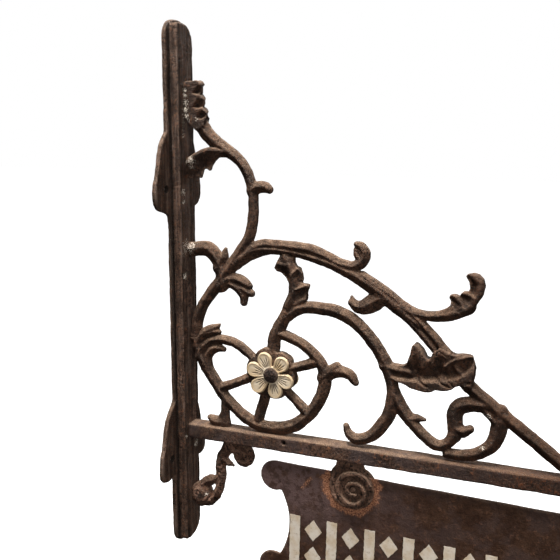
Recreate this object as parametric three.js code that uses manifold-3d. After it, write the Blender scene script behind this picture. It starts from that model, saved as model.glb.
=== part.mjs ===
// Wall-mounted cast-iron sign bracket, in millimetres. The arm runs along +X away from the wall and +Z is up.
// The origin lies on the wall face, at mid-width and mid-height of the wall plate.
// Inside this file heights are counted from the foot of the wall plate, and the last group lowers the part.
import * as THREE from 'three';
import { mergeVertices } from 'three/addons/utils/BufferGeometryUtils.js';
import Module from 'manifold-3d';

const wasm = await Module();
wasm.setup();

// ---- Driving dimensions ----
const GAP = 0.3; // clearance kept between neighbouring pieces
const SECTION_SIDES = 6; // a member's section is a hexagon with a ridge on the front and on the back
const SECTION_DEPTH = 12; // ridge to ridge, across the arm
const FULL_DEPTH_WIDTH = 10; // members narrower than this get proportionally shallower
const STEP_LENGTH = 9; // length of one straight step along a member
const ROUND_SEGMENTS = 24; // round a hole cutter
const THROUGH = 60; // length of a cutter that goes right through the part
const MERGE = 1e-4; // points closer than this are one point
const SIMPLIFY = 0.05; // how far simplifying may move a surface

const PLATE = { height: 560, width: 38, thick: 5, crown: 20 };
const CROWN_POWER = 0.8; // a little squarer than a half ellipse
const EAR_HOLE = { radius: 4, out: 27, heights: [102, 392] };
// An ear's edge as [distance out from the plate's middle, height above the hole].
const EAR_EDGE = [
  [16, 62], [24, 52], [34, 45], [38, 24], [46, 7], [48, -2], [46, -11], [37, -20], [26, -26], [16, -30],
];
const RAIL = { foot: 4, top: 557, width: 32, thick: 9, corner: 4, roundWide: 19, roundHigh: 16 };
const BAR = { start: 14.6, end: 530, foot: 122.5, high: 15, deep: 20, pinX: 125, pinRadius: 2.4 };
const SIGN = {
  centreX: 323, centreZ: 37.5, halfLength: 226, lobeRadius: 16.5, lobeZ: 51.5, notchAngle: 297, waist: 10,
  thick: 3, tilt: 1.2, pivotX: 203.5, pivotZ: 94.5, lobeSegments: 14, waistSegments: 8,
};
const HANGER = {
  xs: [203.5, 442.5], z: 94.5, radius: 21, neckLeft: 18.5, neckRight: 10.5, shoulder: 20, thick: 5, eye: 3.2,
  pinProud: 4, firstAngle: 52, lastAngle: -236,
};
// The ridge on a hanger: it winds in from near the rim and gets narrower.
const SNAIL = {
  turns: 1.75, start: 27, inset: 3.2, closeIn: 12, width: 4.4, taper: 0.8, depth: 8, steps: 14, step: 7,
};
const HUB = {
  x: 112.3, z: 203.2, radius: 27, dip: 5, deep: 12.4, petalAngles: [48, 113, 165, 220, 286, 342],
};
const PETAL = { long: 21, wide: 17.5, centre: 17.5, thick: 3, segments: 16, middleRadius: 11 };
const RIVET = { head: 8, shank: 3, crown: 4.5, segments: 16 };
// A rivet's dome as [part of the head's radius, part of the crown's height], from the top down.
const RIVET_DOME = [[0, 1], [0.55, 0.8], [0.9, 0.4], [1, 0]];

// ---- Finishes ----
const iron = (colour) => new THREE.MeshStandardMaterial({ color: colour, roughness: 0.85, metalness: 0.4 });
const FINISH = {
  casting: () => iron(0x453a35),
  bar: () => iron(0x594a3f),
  sign: () => iron(0x3b322f),
  petal: () => new THREE.MeshStandardMaterial({ color: 0xd9cba8, roughness: 0.75, metalness: 0 }),
  rivet: () => iron(0x2b2524),
};

// ---- Solids: geometry in, geometry out ----
function toSolid(geometry) {
  const bare = geometry.clone();
  bare.deleteAttribute('normal');
  bare.deleteAttribute('uv');
  const merged = mergeVertices(bare, MERGE);
  return new wasm.Manifold(new wasm.Mesh({
    numProp: 3,
    vertProperties: new Float32Array(merged.attributes.position.array),
    triVerts: new Uint32Array(merged.index.array),
  }));
}

function toGeometry(solid) {
  const mesh = solid.getMesh();
  const geometry = new THREE.BufferGeometry();
  geometry.setAttribute('position', new THREE.Float32BufferAttribute(mesh.vertProperties, 3));
  geometry.setIndex(Array.from(mesh.triVerts));
  geometry.computeVertexNormals();
  return geometry;
}

const join = (solids) => solids.reduce((sum, solid) => sum.add(solid));
const largest = (solid) => solid.decompose().sort((a, b) => b.volume() - a.volume())[0];

// An outline in the plane of the arm, drawn as [x, z], given a thickness from y0 (front) to y1 (back).
function armPlate(shape, y0, y1) {
  const geometry = new THREE.ExtrudeGeometry(shape, { depth: y1 - y0, bevelEnabled: false });
  const axes = new THREE.Matrix4().makeBasis(
    new THREE.Vector3(1, 0, 0), new THREE.Vector3(0, 0, 1), new THREE.Vector3(0, -1, 0));
  return toSolid(geometry.applyMatrix4(axes).translate(0, y1, 0));
}

// An outline in the plane of the wall, drawn as [y, z], given a thickness from x0 to x1.
function wallPlate(shape, x0, x1) {
  const geometry = new THREE.ExtrudeGeometry(shape, { depth: x1 - x0, bevelEnabled: false });
  const axes = new THREE.Matrix4().makeBasis(
    new THREE.Vector3(0, 1, 0), new THREE.Vector3(0, 0, 1), new THREE.Vector3(1, 0, 0));
  return toSolid(geometry.applyMatrix4(axes).translate(x0, 0, 0));
}

function outline(points) {
  return new THREE.Shape(points.map(([u, v]) => new THREE.Vector2(u, v)));
}

function box(x0, x1, y0, y1, z0, z1) {
  const geometry = new THREE.BoxGeometry(x1 - x0, y1 - y0, z1 - z0);
  return toSolid(geometry.translate((x0 + x1) / 2, (y0 + y1) / 2, (z0 + z1) / 2));
}

// A round bar along x or y, used as a cutter for holes.
function roundAlong(axis, radius, length, x, y, z) {
  const geometry = new THREE.CylinderGeometry(radius, radius, length, ROUND_SEGMENTS);
  if (axis === 'x') geometry.rotateZ(Math.PI / 2);
  return toSolid(geometry.translate(x, y, z));
}

// One cast member. Each row is [x, z, width]; a smooth curve runs through the rows and the width follows it.
function member(rows, grow = 0, { depth = SECTION_DEPTH, y = 0, step = STEP_LENGTH } = {}) {
  const curve = new THREE.CatmullRomCurve3(
    rows.map(([x, z, width]) => new THREE.Vector3(x, width, z)), false, 'centripetal');
  const steps = Math.max(2, Math.round(curve.getLength() / step));
  const geometry = new THREE.CylinderGeometry(1, 1, 1, SECTION_SIDES, steps);
  const position = geometry.attributes.position;
  const flat = Math.cos(Math.PI / SECTION_SIDES);
  for (let i = 0; i < position.count; i += 1) {
    const along = THREE.MathUtils.clamp(position.getY(i) + 0.5, 0, 1);
    const point = curve.getPointAt(along);
    const tangent = curve.getTangentAt(along).setY(0).normalize();
    const width = point.y + 2 * grow;
    const deep = depth * Math.min(1, point.y / FULL_DEPTH_WIDTH) + 2 * grow;
    const across = (position.getX(i) * width) / 2 / flat;
    const overrun = grow * (Number(along === 1) - Number(along === 0)); // the two ends grow outwards
    position.setXYZ(
      i,
      point.x - tangent.z * across + tangent.x * overrun,
      y + (position.getZ(i) * deep) / 2,
      point.z + tangent.x * across + tangent.z * overrun,
    );
  }
  return toSolid(geometry);
}

// A piece made of several members that were cast together.
const casting = (strokes, options) => (grow) => join(strokes.map((rows) => member(rows, grow, options)));

// ---- Wall plate and the rail on it ----
// One rounded end of a plate of the given half-width: up = 1 for the top end, -1 for the foot.
function crownPoints(half, base, high, up) {
  const points = [];
  const segments = 10;
  for (let i = 0; i <= segments; i += 1) {
    const angle = (Math.PI * i) / segments;
    const across = Math.sign(Math.cos(angle)) * Math.abs(Math.cos(angle)) ** CROWN_POWER;
    points.push([up * half * across, base + up * high * Math.sin(angle) ** CROWN_POWER]);
  }
  return points;
}

// A drop-shaped ear with its screw hole in the wide lower part, on the side given by side = -1 or 1.
function ear(side, holeZ) {
  return wallPlate(outline(EAR_EDGE.map(([out, up]) => [side * out, holeZ + up])), 0, PLATE.thick);
}

function wallPlateSolid() {
  const { width, height, crown, thick } = PLATE;
  const top = crownPoints(width / 2, height - crown, crown, 1);
  const foot = crownPoints(width / 2, crown, crown, -1);
  let plate = wallPlate(outline([...top, ...foot]), 0, thick);
  for (const holeZ of EAR_HOLE.heights) {
    for (const side of [-1, 1]) plate = plate.add(ear(side, holeZ));
  }
  for (const holeZ of EAR_HOLE.heights) {
    for (const side of [-1, 1]) {
      const hole = roundAlong('x', EAR_HOLE.radius, THROUGH, 0, side * EAR_HOLE.out, holeZ);
      plate = plate.subtract(hole);
    }
  }
  return plate;
}

// The rail's far corners are swept round, and its near corners are only eased.
function railSolid(grow) {
  const half = RAIL.width / 2 + grow;
  const front = PLATE.thick + GAP + RAIL.thick + grow;
  const sweep = (base, up) => {
    const points = [];
    const segments = 6;
    for (let i = 0; i <= segments; i += 1) {
      const angle = (Math.PI / 2) * (i / segments);
      const across = half - RAIL.roundWide + RAIL.roundWide * Math.cos(angle);
      points.push([across, base + up * (RAIL.roundHigh * Math.sin(angle) - RAIL.roundHigh)]);
    }
    return points;
  };
  const top = sweep(RAIL.top + grow, 1);
  const foot = sweep(RAIL.foot - grow, -1).reverse();
  const nearTop = [[-half, RAIL.top + grow - RAIL.corner]];
  const nearFoot = [[-half, RAIL.foot - grow + RAIL.corner]];
  return wallPlate(outline([...top, ...nearTop, ...nearFoot, ...foot]), PLATE.thick + GAP, front);
}

function barSolid(grow) {
  const { start, end, foot, high, deep } = BAR;
  const body = box(start - grow, end + grow, -deep / 2 - grow, deep / 2 + grow, foot - grow, foot + high + grow);
  if (grow > 0) return body;
  return body.subtract(roundAlong('y', BAR.pinRadius, THROUGH, BAR.pinX, 0, foot + high / 2));
}

// ---- Rosette in the wheel ----
const petalAngles = HUB.petalAngles.map((angle) => THREE.MathUtils.degToRad(angle));

function hubSolid(grow) {
  const y = HUB.deep / 2 + grow;
  const points = [];
  const segments = 8 * petalAngles.length;
  for (let i = 0; i < segments; i += 1) {
    const angle = (2 * Math.PI * i) / segments;
    const swell = Math.abs(Math.cos(((angle - petalAngles[0]) * petalAngles.length) / 2));
    const radius = HUB.radius - HUB.dip + HUB.dip * Math.sqrt(swell) + grow;
    points.push([HUB.x + radius * Math.cos(angle), HUB.z + radius * Math.sin(angle)]);
  }
  const body = armPlate(outline(points), -y, y);
  return grow > 0 ? body : body.subtract(roundAlong('y', RIVET.shank + GAP, THROUGH, HUB.x, 0, HUB.z));
}

// Six petals cast as one flower, on the front (side = -1) or on the back (side = 1) of the hub.
function rosetteSolid(side) {
  const inner = HUB.deep / 2 + GAP;
  const faces = side < 0 ? [-inner - PETAL.thick, -inner] : [inner, inner + PETAL.thick];
  const shapes = petalAngles.map((angle) => new THREE.Shape().absellipse(
    HUB.x + PETAL.centre * Math.cos(angle), HUB.z + PETAL.centre * Math.sin(angle),
    PETAL.long / 2, PETAL.wide / 2, 0, 2 * Math.PI, false, angle));
  shapes.push(new THREE.Shape().absarc(HUB.x, HUB.z, PETAL.middleRadius, 0, 2 * Math.PI));
  const flower = join(shapes.map((shape) => {
    const points = shape.getSpacedPoints(PETAL.segments).slice(0, PETAL.segments);
    return armPlate(outline(points.map((p) => [p.x, p.y])), ...faces);
  }));
  return flower.subtract(roundAlong('y', RIVET.shank + GAP, THROUGH, HUB.x, 0, HUB.z));
}

// The rivet along y, turned round its own axis, with two domed heads that start at +-seat.
function rivetSolid(seat) {
  const { head, shank, crown, segments } = RIVET;
  const half = [...RIVET_DOME.map(([out, up]) => [head * out, seat + crown * up]), [shank, seat]];
  const mirrored = half.map(([r, y]) => [r, -y]);
  const profile = [...mirrored, ...half.reverse()].map(([r, y]) => new THREE.Vector2(r, y));
  return toSolid(new THREE.LatheGeometry(profile, segments).translate(HUB.x, 0, HUB.z));
}

// ---- Sign plate and its hangers ----
function signShape() {
  const { halfLength, lobeRadius, lobeZ, waist, lobeSegments, waistSegments } = SIGN;
  const lobeX = halfLength - lobeRadius;
  const notch = THREE.MathUtils.degToRad(SIGN.notchAngle);
  const lobeArc = [];
  for (let i = 0; i <= lobeSegments; i += 1) {
    const angle = Math.PI / 2 + ((notch - Math.PI / 2) * i) / lobeSegments;
    lobeArc.push([-lobeX + lobeRadius * Math.cos(angle), lobeZ + lobeRadius * Math.sin(angle)]);
  }
  const [notchX, notchZ] = lobeArc[lobeArc.length - 1];
  const hollow = [];
  for (let i = 1; i < waistSegments; i += 1) {
    const across = 1 - (2 * i) / waistSegments;
    hollow.push([notchX + waist * (1 - across * across), notchZ * across]);
  }
  const lower = lobeArc.map(([x, z]) => [x, -z]).reverse();
  const left = [...lobeArc, ...hollow, ...lower];
  return outline([...left, ...left.map(([x, z]) => [-x, -z])]);
}

function signSolid() {
  const y = SIGN.thick / 2;
  let plate = armPlate(signShape(), -y, y).translate([SIGN.centreX, 0, SIGN.centreZ]);
  plate = plate.translate([-SIGN.pivotX, 0, -SIGN.pivotZ]).rotate([0, SIGN.tilt, 0]);
  plate = plate.translate([SIGN.pivotX, 0, SIGN.pivotZ]);
  for (const x of HANGER.xs) {
    plate = plate.subtract(roundAlong('y', HANGER.eye + 2 * GAP, THROUGH, x, 0, HANGER.z));
  }
  return plate;
}

// A hanger cheek: a disc with a neck up to the bar, and a snail-shell ridge standing on the outer face.
function cheekSolid(x, side) {
  const { radius, neckLeft, neckRight, thick, eye, z } = HANGER;
  const shoulder = z + HANGER.shoulder;
  const rim = [];
  const segments = 18;
  for (let i = 0; i <= segments; i += 1) {
    const degrees = THREE.MathUtils.lerp(HANGER.firstAngle, HANGER.lastAngle, i / segments);
    const angle = THREE.MathUtils.degToRad(degrees);
    rim.push([x + radius * Math.cos(angle), z + radius * Math.sin(angle)]);
  }
  const [left, right, top] = [x - neckLeft, x + neckRight, BAR.foot - GAP];
  const neck = [[left, shoulder], [left, top], [right, top], [right, shoulder]];
  const inner = SIGN.thick / 2 + GAP;
  const outer = inner + thick;
  const disc = armPlate(outline([...rim, ...neck]), ...(side < 0 ? [-outer, -inner] : [inner, outer]));
  const rows = [];
  for (let i = 0; i <= SNAIL.steps; i += 1) {
    const along = i / SNAIL.steps;
    const angle = THREE.MathUtils.degToRad(SNAIL.start + 360 * SNAIL.turns * along);
    const reach = radius - SNAIL.inset - SNAIL.closeIn * along;
    const width = SNAIL.width - SNAIL.taper * along;
    rows.push([x + reach * Math.cos(angle), z + reach * Math.sin(angle), width]);
  }
  const snail = member(rows, 0, { depth: SNAIL.depth, y: side * outer, step: SNAIL.step });
  return disc.add(snail).subtract(roundAlong('y', eye + GAP, THROUGH, x, 0, z));
}

// ---- Scrollwork: rows are [x, z, width], heights from the foot of the wall plate ----
const SCROLLS = {
  leaf_cluster: [
    [[240, 218, 14], [254, 217, 20], [270, 217, 25], [286, 220, 26], [300, 225, 26], [311, 231, 20],
      [316, 238, 9]],
    [[262, 217, 18], [260, 232, 15], [260, 242, 9], [260.5, 249, 4]],
    [[276, 219, 17], [277, 231, 14], [279, 240, 7]],
    [[294, 222, 18], [297, 235, 13], [302, 243, 6]],
    [[268, 213, 14], [276, 207, 10], [281, 205, 6]],
  ],
  main_stem: [
    [[22, 470, 12], [33, 460, 12], [42, 449, 11], [53, 439, 10], [66, 430, 10.5], [77, 419, 10.5],
      [84, 406, 10.5],
      [88, 391, 10.5], [89, 376, 10.5], [88, 360, 11], [84, 343, 11.5], [75, 328, 12],
        [64, 313, 12], [53, 298, 12],
      [41, 283, 12], [30, 267, 12], [24, 251, 12], [21, 234, 12]],
  ],
  wheel_rim_left: [
    [[21, 233, 12], [26, 216, 13], [33, 202, 13.5], [42, 188, 13], [52, 174, 12.5], [64, 162, 12.5],
      [80, 150, 13]],
  ],
  wheel_rim_base: [
    [[80, 150, 13], [96, 144, 13.5], [112, 143, 14], [130, 147, 14], [145, 157, 13]],
  ],
  wheel_rim_right: [
    [[145, 157, 13], [157, 171, 13], [165, 186, 13], [168.5, 202, 13], [165, 217, 12], [155, 229, 11.5],
      [142, 238, 11], [129, 243, 11], [118, 246, 11]],
  ],
  top_leaf: [
    [[20, 500, 10], [21, 486, 12], [25, 470, 13], [31, 461, 12]],
    [[15, 489, 13], [22, 493, 14], [28, 495, 13], [32, 493, 8]],
    [[16, 476, 12], [24, 480, 13], [30, 481, 12], [34, 479, 7]],
    [[20, 464, 11], [27, 468, 12], [33, 470, 11], [37, 467, 7]],
  ],
  upper_arc: [
    [[88, 338, 10], [100, 336, 11], [116, 336, 12], [134, 336, 12], [153, 334, 12],
      [170, 328, 11.5], [185, 322, 11],
      [197, 321, 10.5], [205, 326, 10], [208, 334, 9.5], [205, 341, 8], [201, 343, 6]],
    [[202, 326, 8], [199, 333, 6], [198, 337, 4]],
  ],
  diagonal_upper: [
    [[78, 314, 10], [90, 325, 11], [108, 331, 10], [132, 330, 9], [155, 326, 10], [176, 320, 12],
      [196, 312, 14],
      [213, 305, 15], [228, 295, 14], [243, 284, 13], [257, 273, 14], [270, 261, 15], [282, 248, 15],
      [294, 234, 14], [304, 222, 13], [313, 213, 13]],
  ],
  diagonal_lower: [
    [[305, 220, 13], [315, 212, 13], [328, 202, 13], [343, 191, 13], [360, 179, 13], [378, 166, 13],
      [400, 150, 13], [424, 132, 13]],
  ],
  inner_arc: [
    [[124, 262, 11], [138, 273, 12], [150, 276, 12], [165, 276, 12.5], [181, 274, 13], [197, 267, 13],
      [211, 255, 13], [224, 239, 13], [233, 223, 13], [238, 207, 12], [239, 192, 12.5], [236, 176, 13],
      [229, 163, 13], [220, 152, 12], [210, 146, 11.5], [200, 145, 10], [194, 150, 7], [192, 156, 4]],
  ],
  centre_leaf: [
    [[111, 226, 14], [112, 240, 15], [117, 252, 15], [124, 264, 13], [132, 277, 12], [138, 289, 13],
      [138, 301, 13],
      [134, 313, 14], [127, 326, 15]],
    [[133, 306, 12], [125, 313, 9], [116, 316, 5]],
    [[134, 302, 12], [141, 311, 9], [143, 314, 6]],
    [[137, 288, 12], [145, 296, 9], [151, 298, 5]],
  ],
  stem_bud: [
    [[88, 391, 11], [96, 394.5, 12], [103, 395, 11], [107, 392, 8]],
  ],
  upper_branch: [
    [[60, 430, 11], [49, 429, 12], [38, 424, 15], [27, 417, 18], [15, 410, 20]],
    [[45, 425, 10], [42, 417, 7], [41, 412, 4]],
    [[34, 418, 10], [32, 410, 7], [31, 404, 4]],
  ],
  side_branch: [
    [[15, 327, 16], [29, 328, 15], [40, 325, 14], [48, 316, 13], [53, 305, 12], [54, 298, 12]],
    [[49, 317, 11], [55, 325, 8], [57, 330, 5]],
  ],
  hanging_leaf: [
    [[52, 291, 14], [62, 296, 16], [72, 294, 16], [78, 285, 12], [80, 274, 7]],
    [[70, 296, 13], [79, 296, 11], [86, 292, 6]],
    [[78, 290, 11], [85, 286, 7], [89, 285, 4]],
  ],
  small_leaf: [
    [[228, 297, 16], [219, 289, 14], [211, 283, 13], [202, 282, 11], [196, 287, 7]],
  ],
  hook_scroll: [
    [[244, 285, 12], [257, 279, 11], [271, 277, 9.5], [285, 280, 11], [299, 286, 13], [311, 295, 16],
      [319, 305, 14], [319, 314, 10], [312, 319, 6]],
    [[300, 288, 10], [295, 296, 8], [294, 299, 5]],
    [[309, 296, 10], [304, 302, 7], [303, 304, 5]],
  ],
  thorn_stem: [
    [[240, 199, 12], [248, 184, 13], [261, 168, 11.5], [274, 156, 11], [286, 150, 11],
      [296, 155, 10.5], [301, 163, 11]],
    [[258, 174, 8], [267, 176, 6], [274, 175, 3.5]],
  ],
  ring_scroll_top: [
    [[328, 197, 12], [316, 196, 12], [306, 192, 13], [301, 183, 13], [301, 172, 13], [301, 163, 11]],
    [[302, 174, 12], [309, 170, 9], [317, 173, 5]],
  ],
  ring_scroll_foot: [
    [[343, 188, 12], [343, 173, 12.5], [337, 159, 12], [326, 149, 11], [311, 144, 11], [296, 144, 10]],
  ],
  wheel_crook: [
    [[24, 212, 9], [32, 224, 9], [42, 231, 8.5], [53, 233, 8], [66, 231, 8], [76, 226, 8],
      [85, 220, 8.5], [94, 212, 9]],
  ],
  wheel_leaf_outer: [
    [[22, 222, 8], [28, 233, 9], [38, 241, 9], [48, 247, 5]],
  ],
  wheel_leaf_inner: [
    [[37, 204, 9], [37, 213, 9], [43, 220, 8], [53, 222.5, 5]],
  ],
  wheel_bud: [
    [[167, 205, 14], [179, 212, 13], [190, 212, 11], [198, 207, 8], [202, 200, 4.5]],
    [[178, 212, 12], [184, 219, 7]],
  ],
  foot_leaf: [
    [[56, 168, 9], [54, 154, 9], [54, 143, 13], [54, 133, 16]],
    [[54, 144, 12], [44, 147, 11], [37, 149, 7]],
  ],
  spoke_left: [[[54, 181, 9], [70, 188, 8.5], [88, 197, 9]]],
  spoke_right: [[[158, 220, 10], [145, 215, 9], [130, 210, 9]]],
  spoke_low_right: [[[149, 165, 10], [137, 176, 9], [124, 188, 9]]],
  spoke_low_left: [[[95, 152, 10], [99, 166, 10], [104, 184, 10]]],
  under_scroll: [
    [[61, 120, 16], [54, 109, 12], [50, 94, 11], [48, 78, 12], [46, 64, 11], [40, 52, 11],
      [30, 47, 12], [20, 50, 12]],
    [[48, 80, 10], [39, 74, 8], [31, 69, 8], [25, 65, 8]],
    [[52, 100, 9], [59, 95, 7], [65, 93, 4]],
  ],
  under_knob: [
    [[16, 55, 20], [22, 56, 23], [27, 56.5, 22], [33, 56, 14]],
  ],
  under_curl: [
    [[64, 121, 9], [76, 116, 11], [82, 107, 10], [76, 99, 9], [68, 100, 7]],
    [[70, 105, 8], [76, 106, 9]],
  ],
  arm_finial: [
    [[530.6, 130, 15], [543, 130, 14], [554, 136, 12], [558, 147, 10], [551, 156, 9], [542, 153, 7]],
  ],
};

// ---- Assembly ----
// A piece earlier in the list keeps its full shape, and each later one is cut back GAP clear of it.
const pieces = [
  { name: 'wall_plate', finish: 'casting', make: wallPlateSolid },
  { name: 'post_rail', finish: 'casting', make: railSolid },
  { name: 'arm_bar', finish: 'bar', make: barSolid },
  { name: 'rosette_hub', finish: 'casting', make: hubSolid },
];
for (const [name, strokes] of Object.entries(SCROLLS)) {
  pieces.push({ name, finish: 'casting', make: casting(strokes) });
}

function overlapping(a, b) {
  const [p, q] = [a.boundingBox(), b.boundingBox()];
  return p.min.every((low, axis) => low < q.max[axis] && q.min[axis] < p.max[axis]);
}

const part = new THREE.Group();

function addMesh(name, finish, solid) {
  const mesh = new THREE.Mesh(toGeometry(solid), FINISH[finish]());
  mesh.name = name;
  part.add(mesh);
}

const keepOut = [];
for (const { name, finish, make } of pieces) {
  let solid = make(0);
  for (const other of keepOut) {
    if (overlapping(solid, other)) solid = solid.subtract(other);
  }
  addMesh(name, finish, largest(solid).simplify(SIMPLIFY));
  keepOut.push(make(GAP));
}

addMesh('rosette_front', 'petal', rosetteSolid(-1));
addMesh('rosette_back', 'petal', rosetteSolid(1));
addMesh('rosette_rivet', 'rivet', rivetSolid(HUB.deep / 2 + PETAL.thick + 2 * GAP));

addMesh('sign_plate', 'sign', signSolid());
HANGER.xs.forEach((x, index) => {
  const place = ['left', 'right'][index];
  addMesh(`hanger_${place}_front`, 'casting', cheekSolid(x, -1));
  addMesh(`hanger_${place}_back`, 'casting', cheekSolid(x, 1));
  const pinLength = 2 * (HANGER.thick + HANGER.pinProud);
  const pin = new THREE.CylinderGeometry(HANGER.eye, HANGER.eye, pinLength, ROUND_SEGMENTS);
  addMesh(`hanger_${place}_pin`, 'rivet', toSolid(pin.translate(x, 0, HANGER.z)));
});

part.position.z = -PLATE.height / 2;

const bracket = new THREE.Group();
bracket.add(part);

export default bracket;
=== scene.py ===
import bmesh
import bpy
import math
import numpy as np
import openvdb
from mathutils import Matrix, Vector


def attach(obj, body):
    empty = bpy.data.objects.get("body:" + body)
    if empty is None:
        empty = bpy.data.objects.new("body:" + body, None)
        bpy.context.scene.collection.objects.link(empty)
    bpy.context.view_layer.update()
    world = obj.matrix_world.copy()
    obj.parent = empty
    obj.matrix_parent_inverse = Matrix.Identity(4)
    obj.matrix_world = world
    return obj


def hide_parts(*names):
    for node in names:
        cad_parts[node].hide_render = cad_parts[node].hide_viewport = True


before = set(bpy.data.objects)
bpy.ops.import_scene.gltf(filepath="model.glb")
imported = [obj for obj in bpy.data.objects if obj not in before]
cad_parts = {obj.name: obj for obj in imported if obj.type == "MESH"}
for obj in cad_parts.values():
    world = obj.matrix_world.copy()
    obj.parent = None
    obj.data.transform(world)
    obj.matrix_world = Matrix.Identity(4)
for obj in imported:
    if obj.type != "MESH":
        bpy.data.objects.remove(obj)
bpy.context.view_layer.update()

# Shapes are worked out in millimetres, with heights counted from the foot of the wall plate.
MM = 0.001
FOOT = -280.0  # height of the wall plate's foot in the row frame
FAR = 40.0  # distance written where nothing is near


# ---------------------------------------------------------------- camera, light and floor
def add_object(name, data):
    thing = bpy.data.objects.new(name, data)
    bpy.context.scene.collection.objects.link(thing)
    return thing


def make_camera():
    data = bpy.data.cameras.new("camera")
    data.sensor_width = 36
    data.lens = 55.85
    camera = add_object("camera", data)
    camera.location = (0.4543, -0.7974, 0.1861)
    camera.rotation_euler = [math.radians(turn) for turn in (90 - 10.742, 0, 22.818)]
    bpy.context.scene.camera = camera


def area_light(name, place, aim, size, watts, colour=(1, 1, 1)):
    data = bpy.data.lights.new(name, "AREA")
    data.shape = "DISK"
    data.size = size
    data.energy = watts
    data.color = colour
    light = add_object(name, data)
    light.location = place
    light.rotation_euler = (Vector(aim) - Vector(place)).to_track_quat("-Z", "Y").to_euler()


make_camera()
area_light("key", place=(-0.05, -0.50, 2.1), aim=(0.15, 0, 0), size=0.7, watts=122, colour=(1, 0.97, 0.93))
area_light("fill", place=(1.4, -1.6, 0.2), aim=(0.05, 0, 0), size=1.4, watts=17, colour=(1, 0.95, 0.90))
area_light("back", place=(0.2, 1.5, 1.7), aim=(0.22, 0, 0), size=1.2, watts=30)
bpy.context.scene.view_settings.view_transform = "Standard"


# ---------------------------------------------------------------- node helpers
class Nodes:
    """Short ways of adding nodes to a tree. A value is a socket to link from or a number or colour to set."""

    def __init__(self, tree):
        self.tree = tree

    def new(self, kind, **sockets):
        node = self.tree.nodes.new(kind)
        for name, value in sockets.items():
            self.put(node.inputs[name.replace("_", " ")], value)
        return node

    def put(self, socket, value):
        if hasattr(value, "is_output"):
            self.tree.links.new(value, socket)
        else:
            socket.default_value = (*value, 1) if socket.type == "RGBA" else value

    def math(self, kind, a, b=0.0, clamp=False):
        node = self.tree.nodes.new("ShaderNodeMath")
        node.operation = kind
        node.use_clamp = clamp
        self.put(node.inputs[0], a)
        self.put(node.inputs[1], b)
        return node.outputs[0]

    def times(self, a, b, clamp=False):
        return self.math("MULTIPLY", a, b, clamp)

    def add(self, a, b, clamp=False):
        return self.math("ADD", a, b, clamp)

    def ramp(self, value, low, high, bottom=0.0, top=1.0):
        """Goes smoothly from bottom to top as the value goes from low to high."""
        node = self.tree.nodes.new("ShaderNodeMapRange")
        node.interpolation_type = "SMOOTHSTEP"
        for socket, number in zip(node.inputs[:5], (value, low, high, bottom, top)):
            self.put(socket, number)
        return node.outputs[0]

    def mix(self, factor, a, b, blend="MIX"):
        node = self.tree.nodes.new("ShaderNodeMix")
        node.data_type = "RGBA"
        node.blend_type = blend
        self.put(node.inputs[0], factor)
        self.put(node.inputs[6], a)
        self.put(node.inputs[7], b)
        return node.outputs[2]

    def coat(self, colour, amount, strength, over):
        """A colour with another one over it where amount is high."""
        return self.mix(self.times(amount, strength), colour, over)

    def noise(self, where, scale, detail=3.0, roughness=0.55):
        return self.new("ShaderNodeTexNoise", Vector=where, Scale=scale, Detail=detail,
                        Roughness=roughness).outputs["Fac"]

    def attribute(self, name):
        node = self.tree.nodes.new("ShaderNodeAttribute")
        node.attribute_name = name
        return node.outputs["Fac"]

    def split(self, vector):
        return self.new("ShaderNodeSeparateXYZ", Vector=vector).outputs

    def finish(self, shader, colour, roughness, height, strength, distance):
        """Links a colour, a roughness and a bump to the shader."""
        self.put(shader.inputs["Base Color"], colour)
        self.put(shader.inputs["Roughness"], roughness)
        relief = self.new("ShaderNodeBump", Strength=strength, Distance=distance, Height=height)
        self.put(shader.inputs["Normal"], relief.outputs[0])


def make_world():
    world = bpy.data.worlds.new("world")
    bpy.context.scene.world = world
    world.use_nodes = True
    tree = world.node_tree
    tree.nodes.clear()
    n = Nodes(tree)
    up = n.split(tree.nodes.new("ShaderNodeTexCoord").outputs["Generated"])["Z"]
    strength = n.ramp(up, -0.05, 1.0, 0.012, 0.44)
    light = n.new("ShaderNodeBackground", Color=(1, 0.985, 0.97), Strength=strength)
    seen = n.new("ShaderNodeBackground", Color=(1, 1, 1), Strength=1.0)
    mix = tree.nodes.new("ShaderNodeMixShader")
    n.put(mix.inputs[0], tree.nodes.new("ShaderNodeLightPath").outputs["Is Camera Ray"])
    n.put(mix.inputs[1], light.outputs[0])
    n.put(mix.inputs[2], seen.outputs[0])
    out = tree.nodes.new("ShaderNodeOutputWorld")
    n.put(out.inputs[0], mix.outputs[0])


def make_floor(side=12.0, height=-0.75):
    mesh = bpy.data.meshes.new("floor")
    corners = [(-side, -side, 0), (side, -side, 0), (side, side, 0), (-side, side, 0)]
    mesh.from_pydata(corners, [], [(0, 1, 2, 3)])
    floor = add_object("floor", mesh)
    floor.location.z = height
    material = bpy.data.materials.new("floor_pale")
    material.use_nodes = True
    shader = material.node_tree.nodes["Principled BSDF"]
    shader.inputs["Base Color"].default_value = (0.55, 0.55, 0.55, 1)
    shader.inputs["Roughness"].default_value = 0.9
    shader.inputs["Emission Color"].default_value = (1, 1, 1, 1)
    shader.inputs["Emission Strength"].default_value = 0.90
    mesh.materials.append(material)
    floor.visible_diffuse = False
    floor.visible_glossy = False


make_world()
make_floor()


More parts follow.
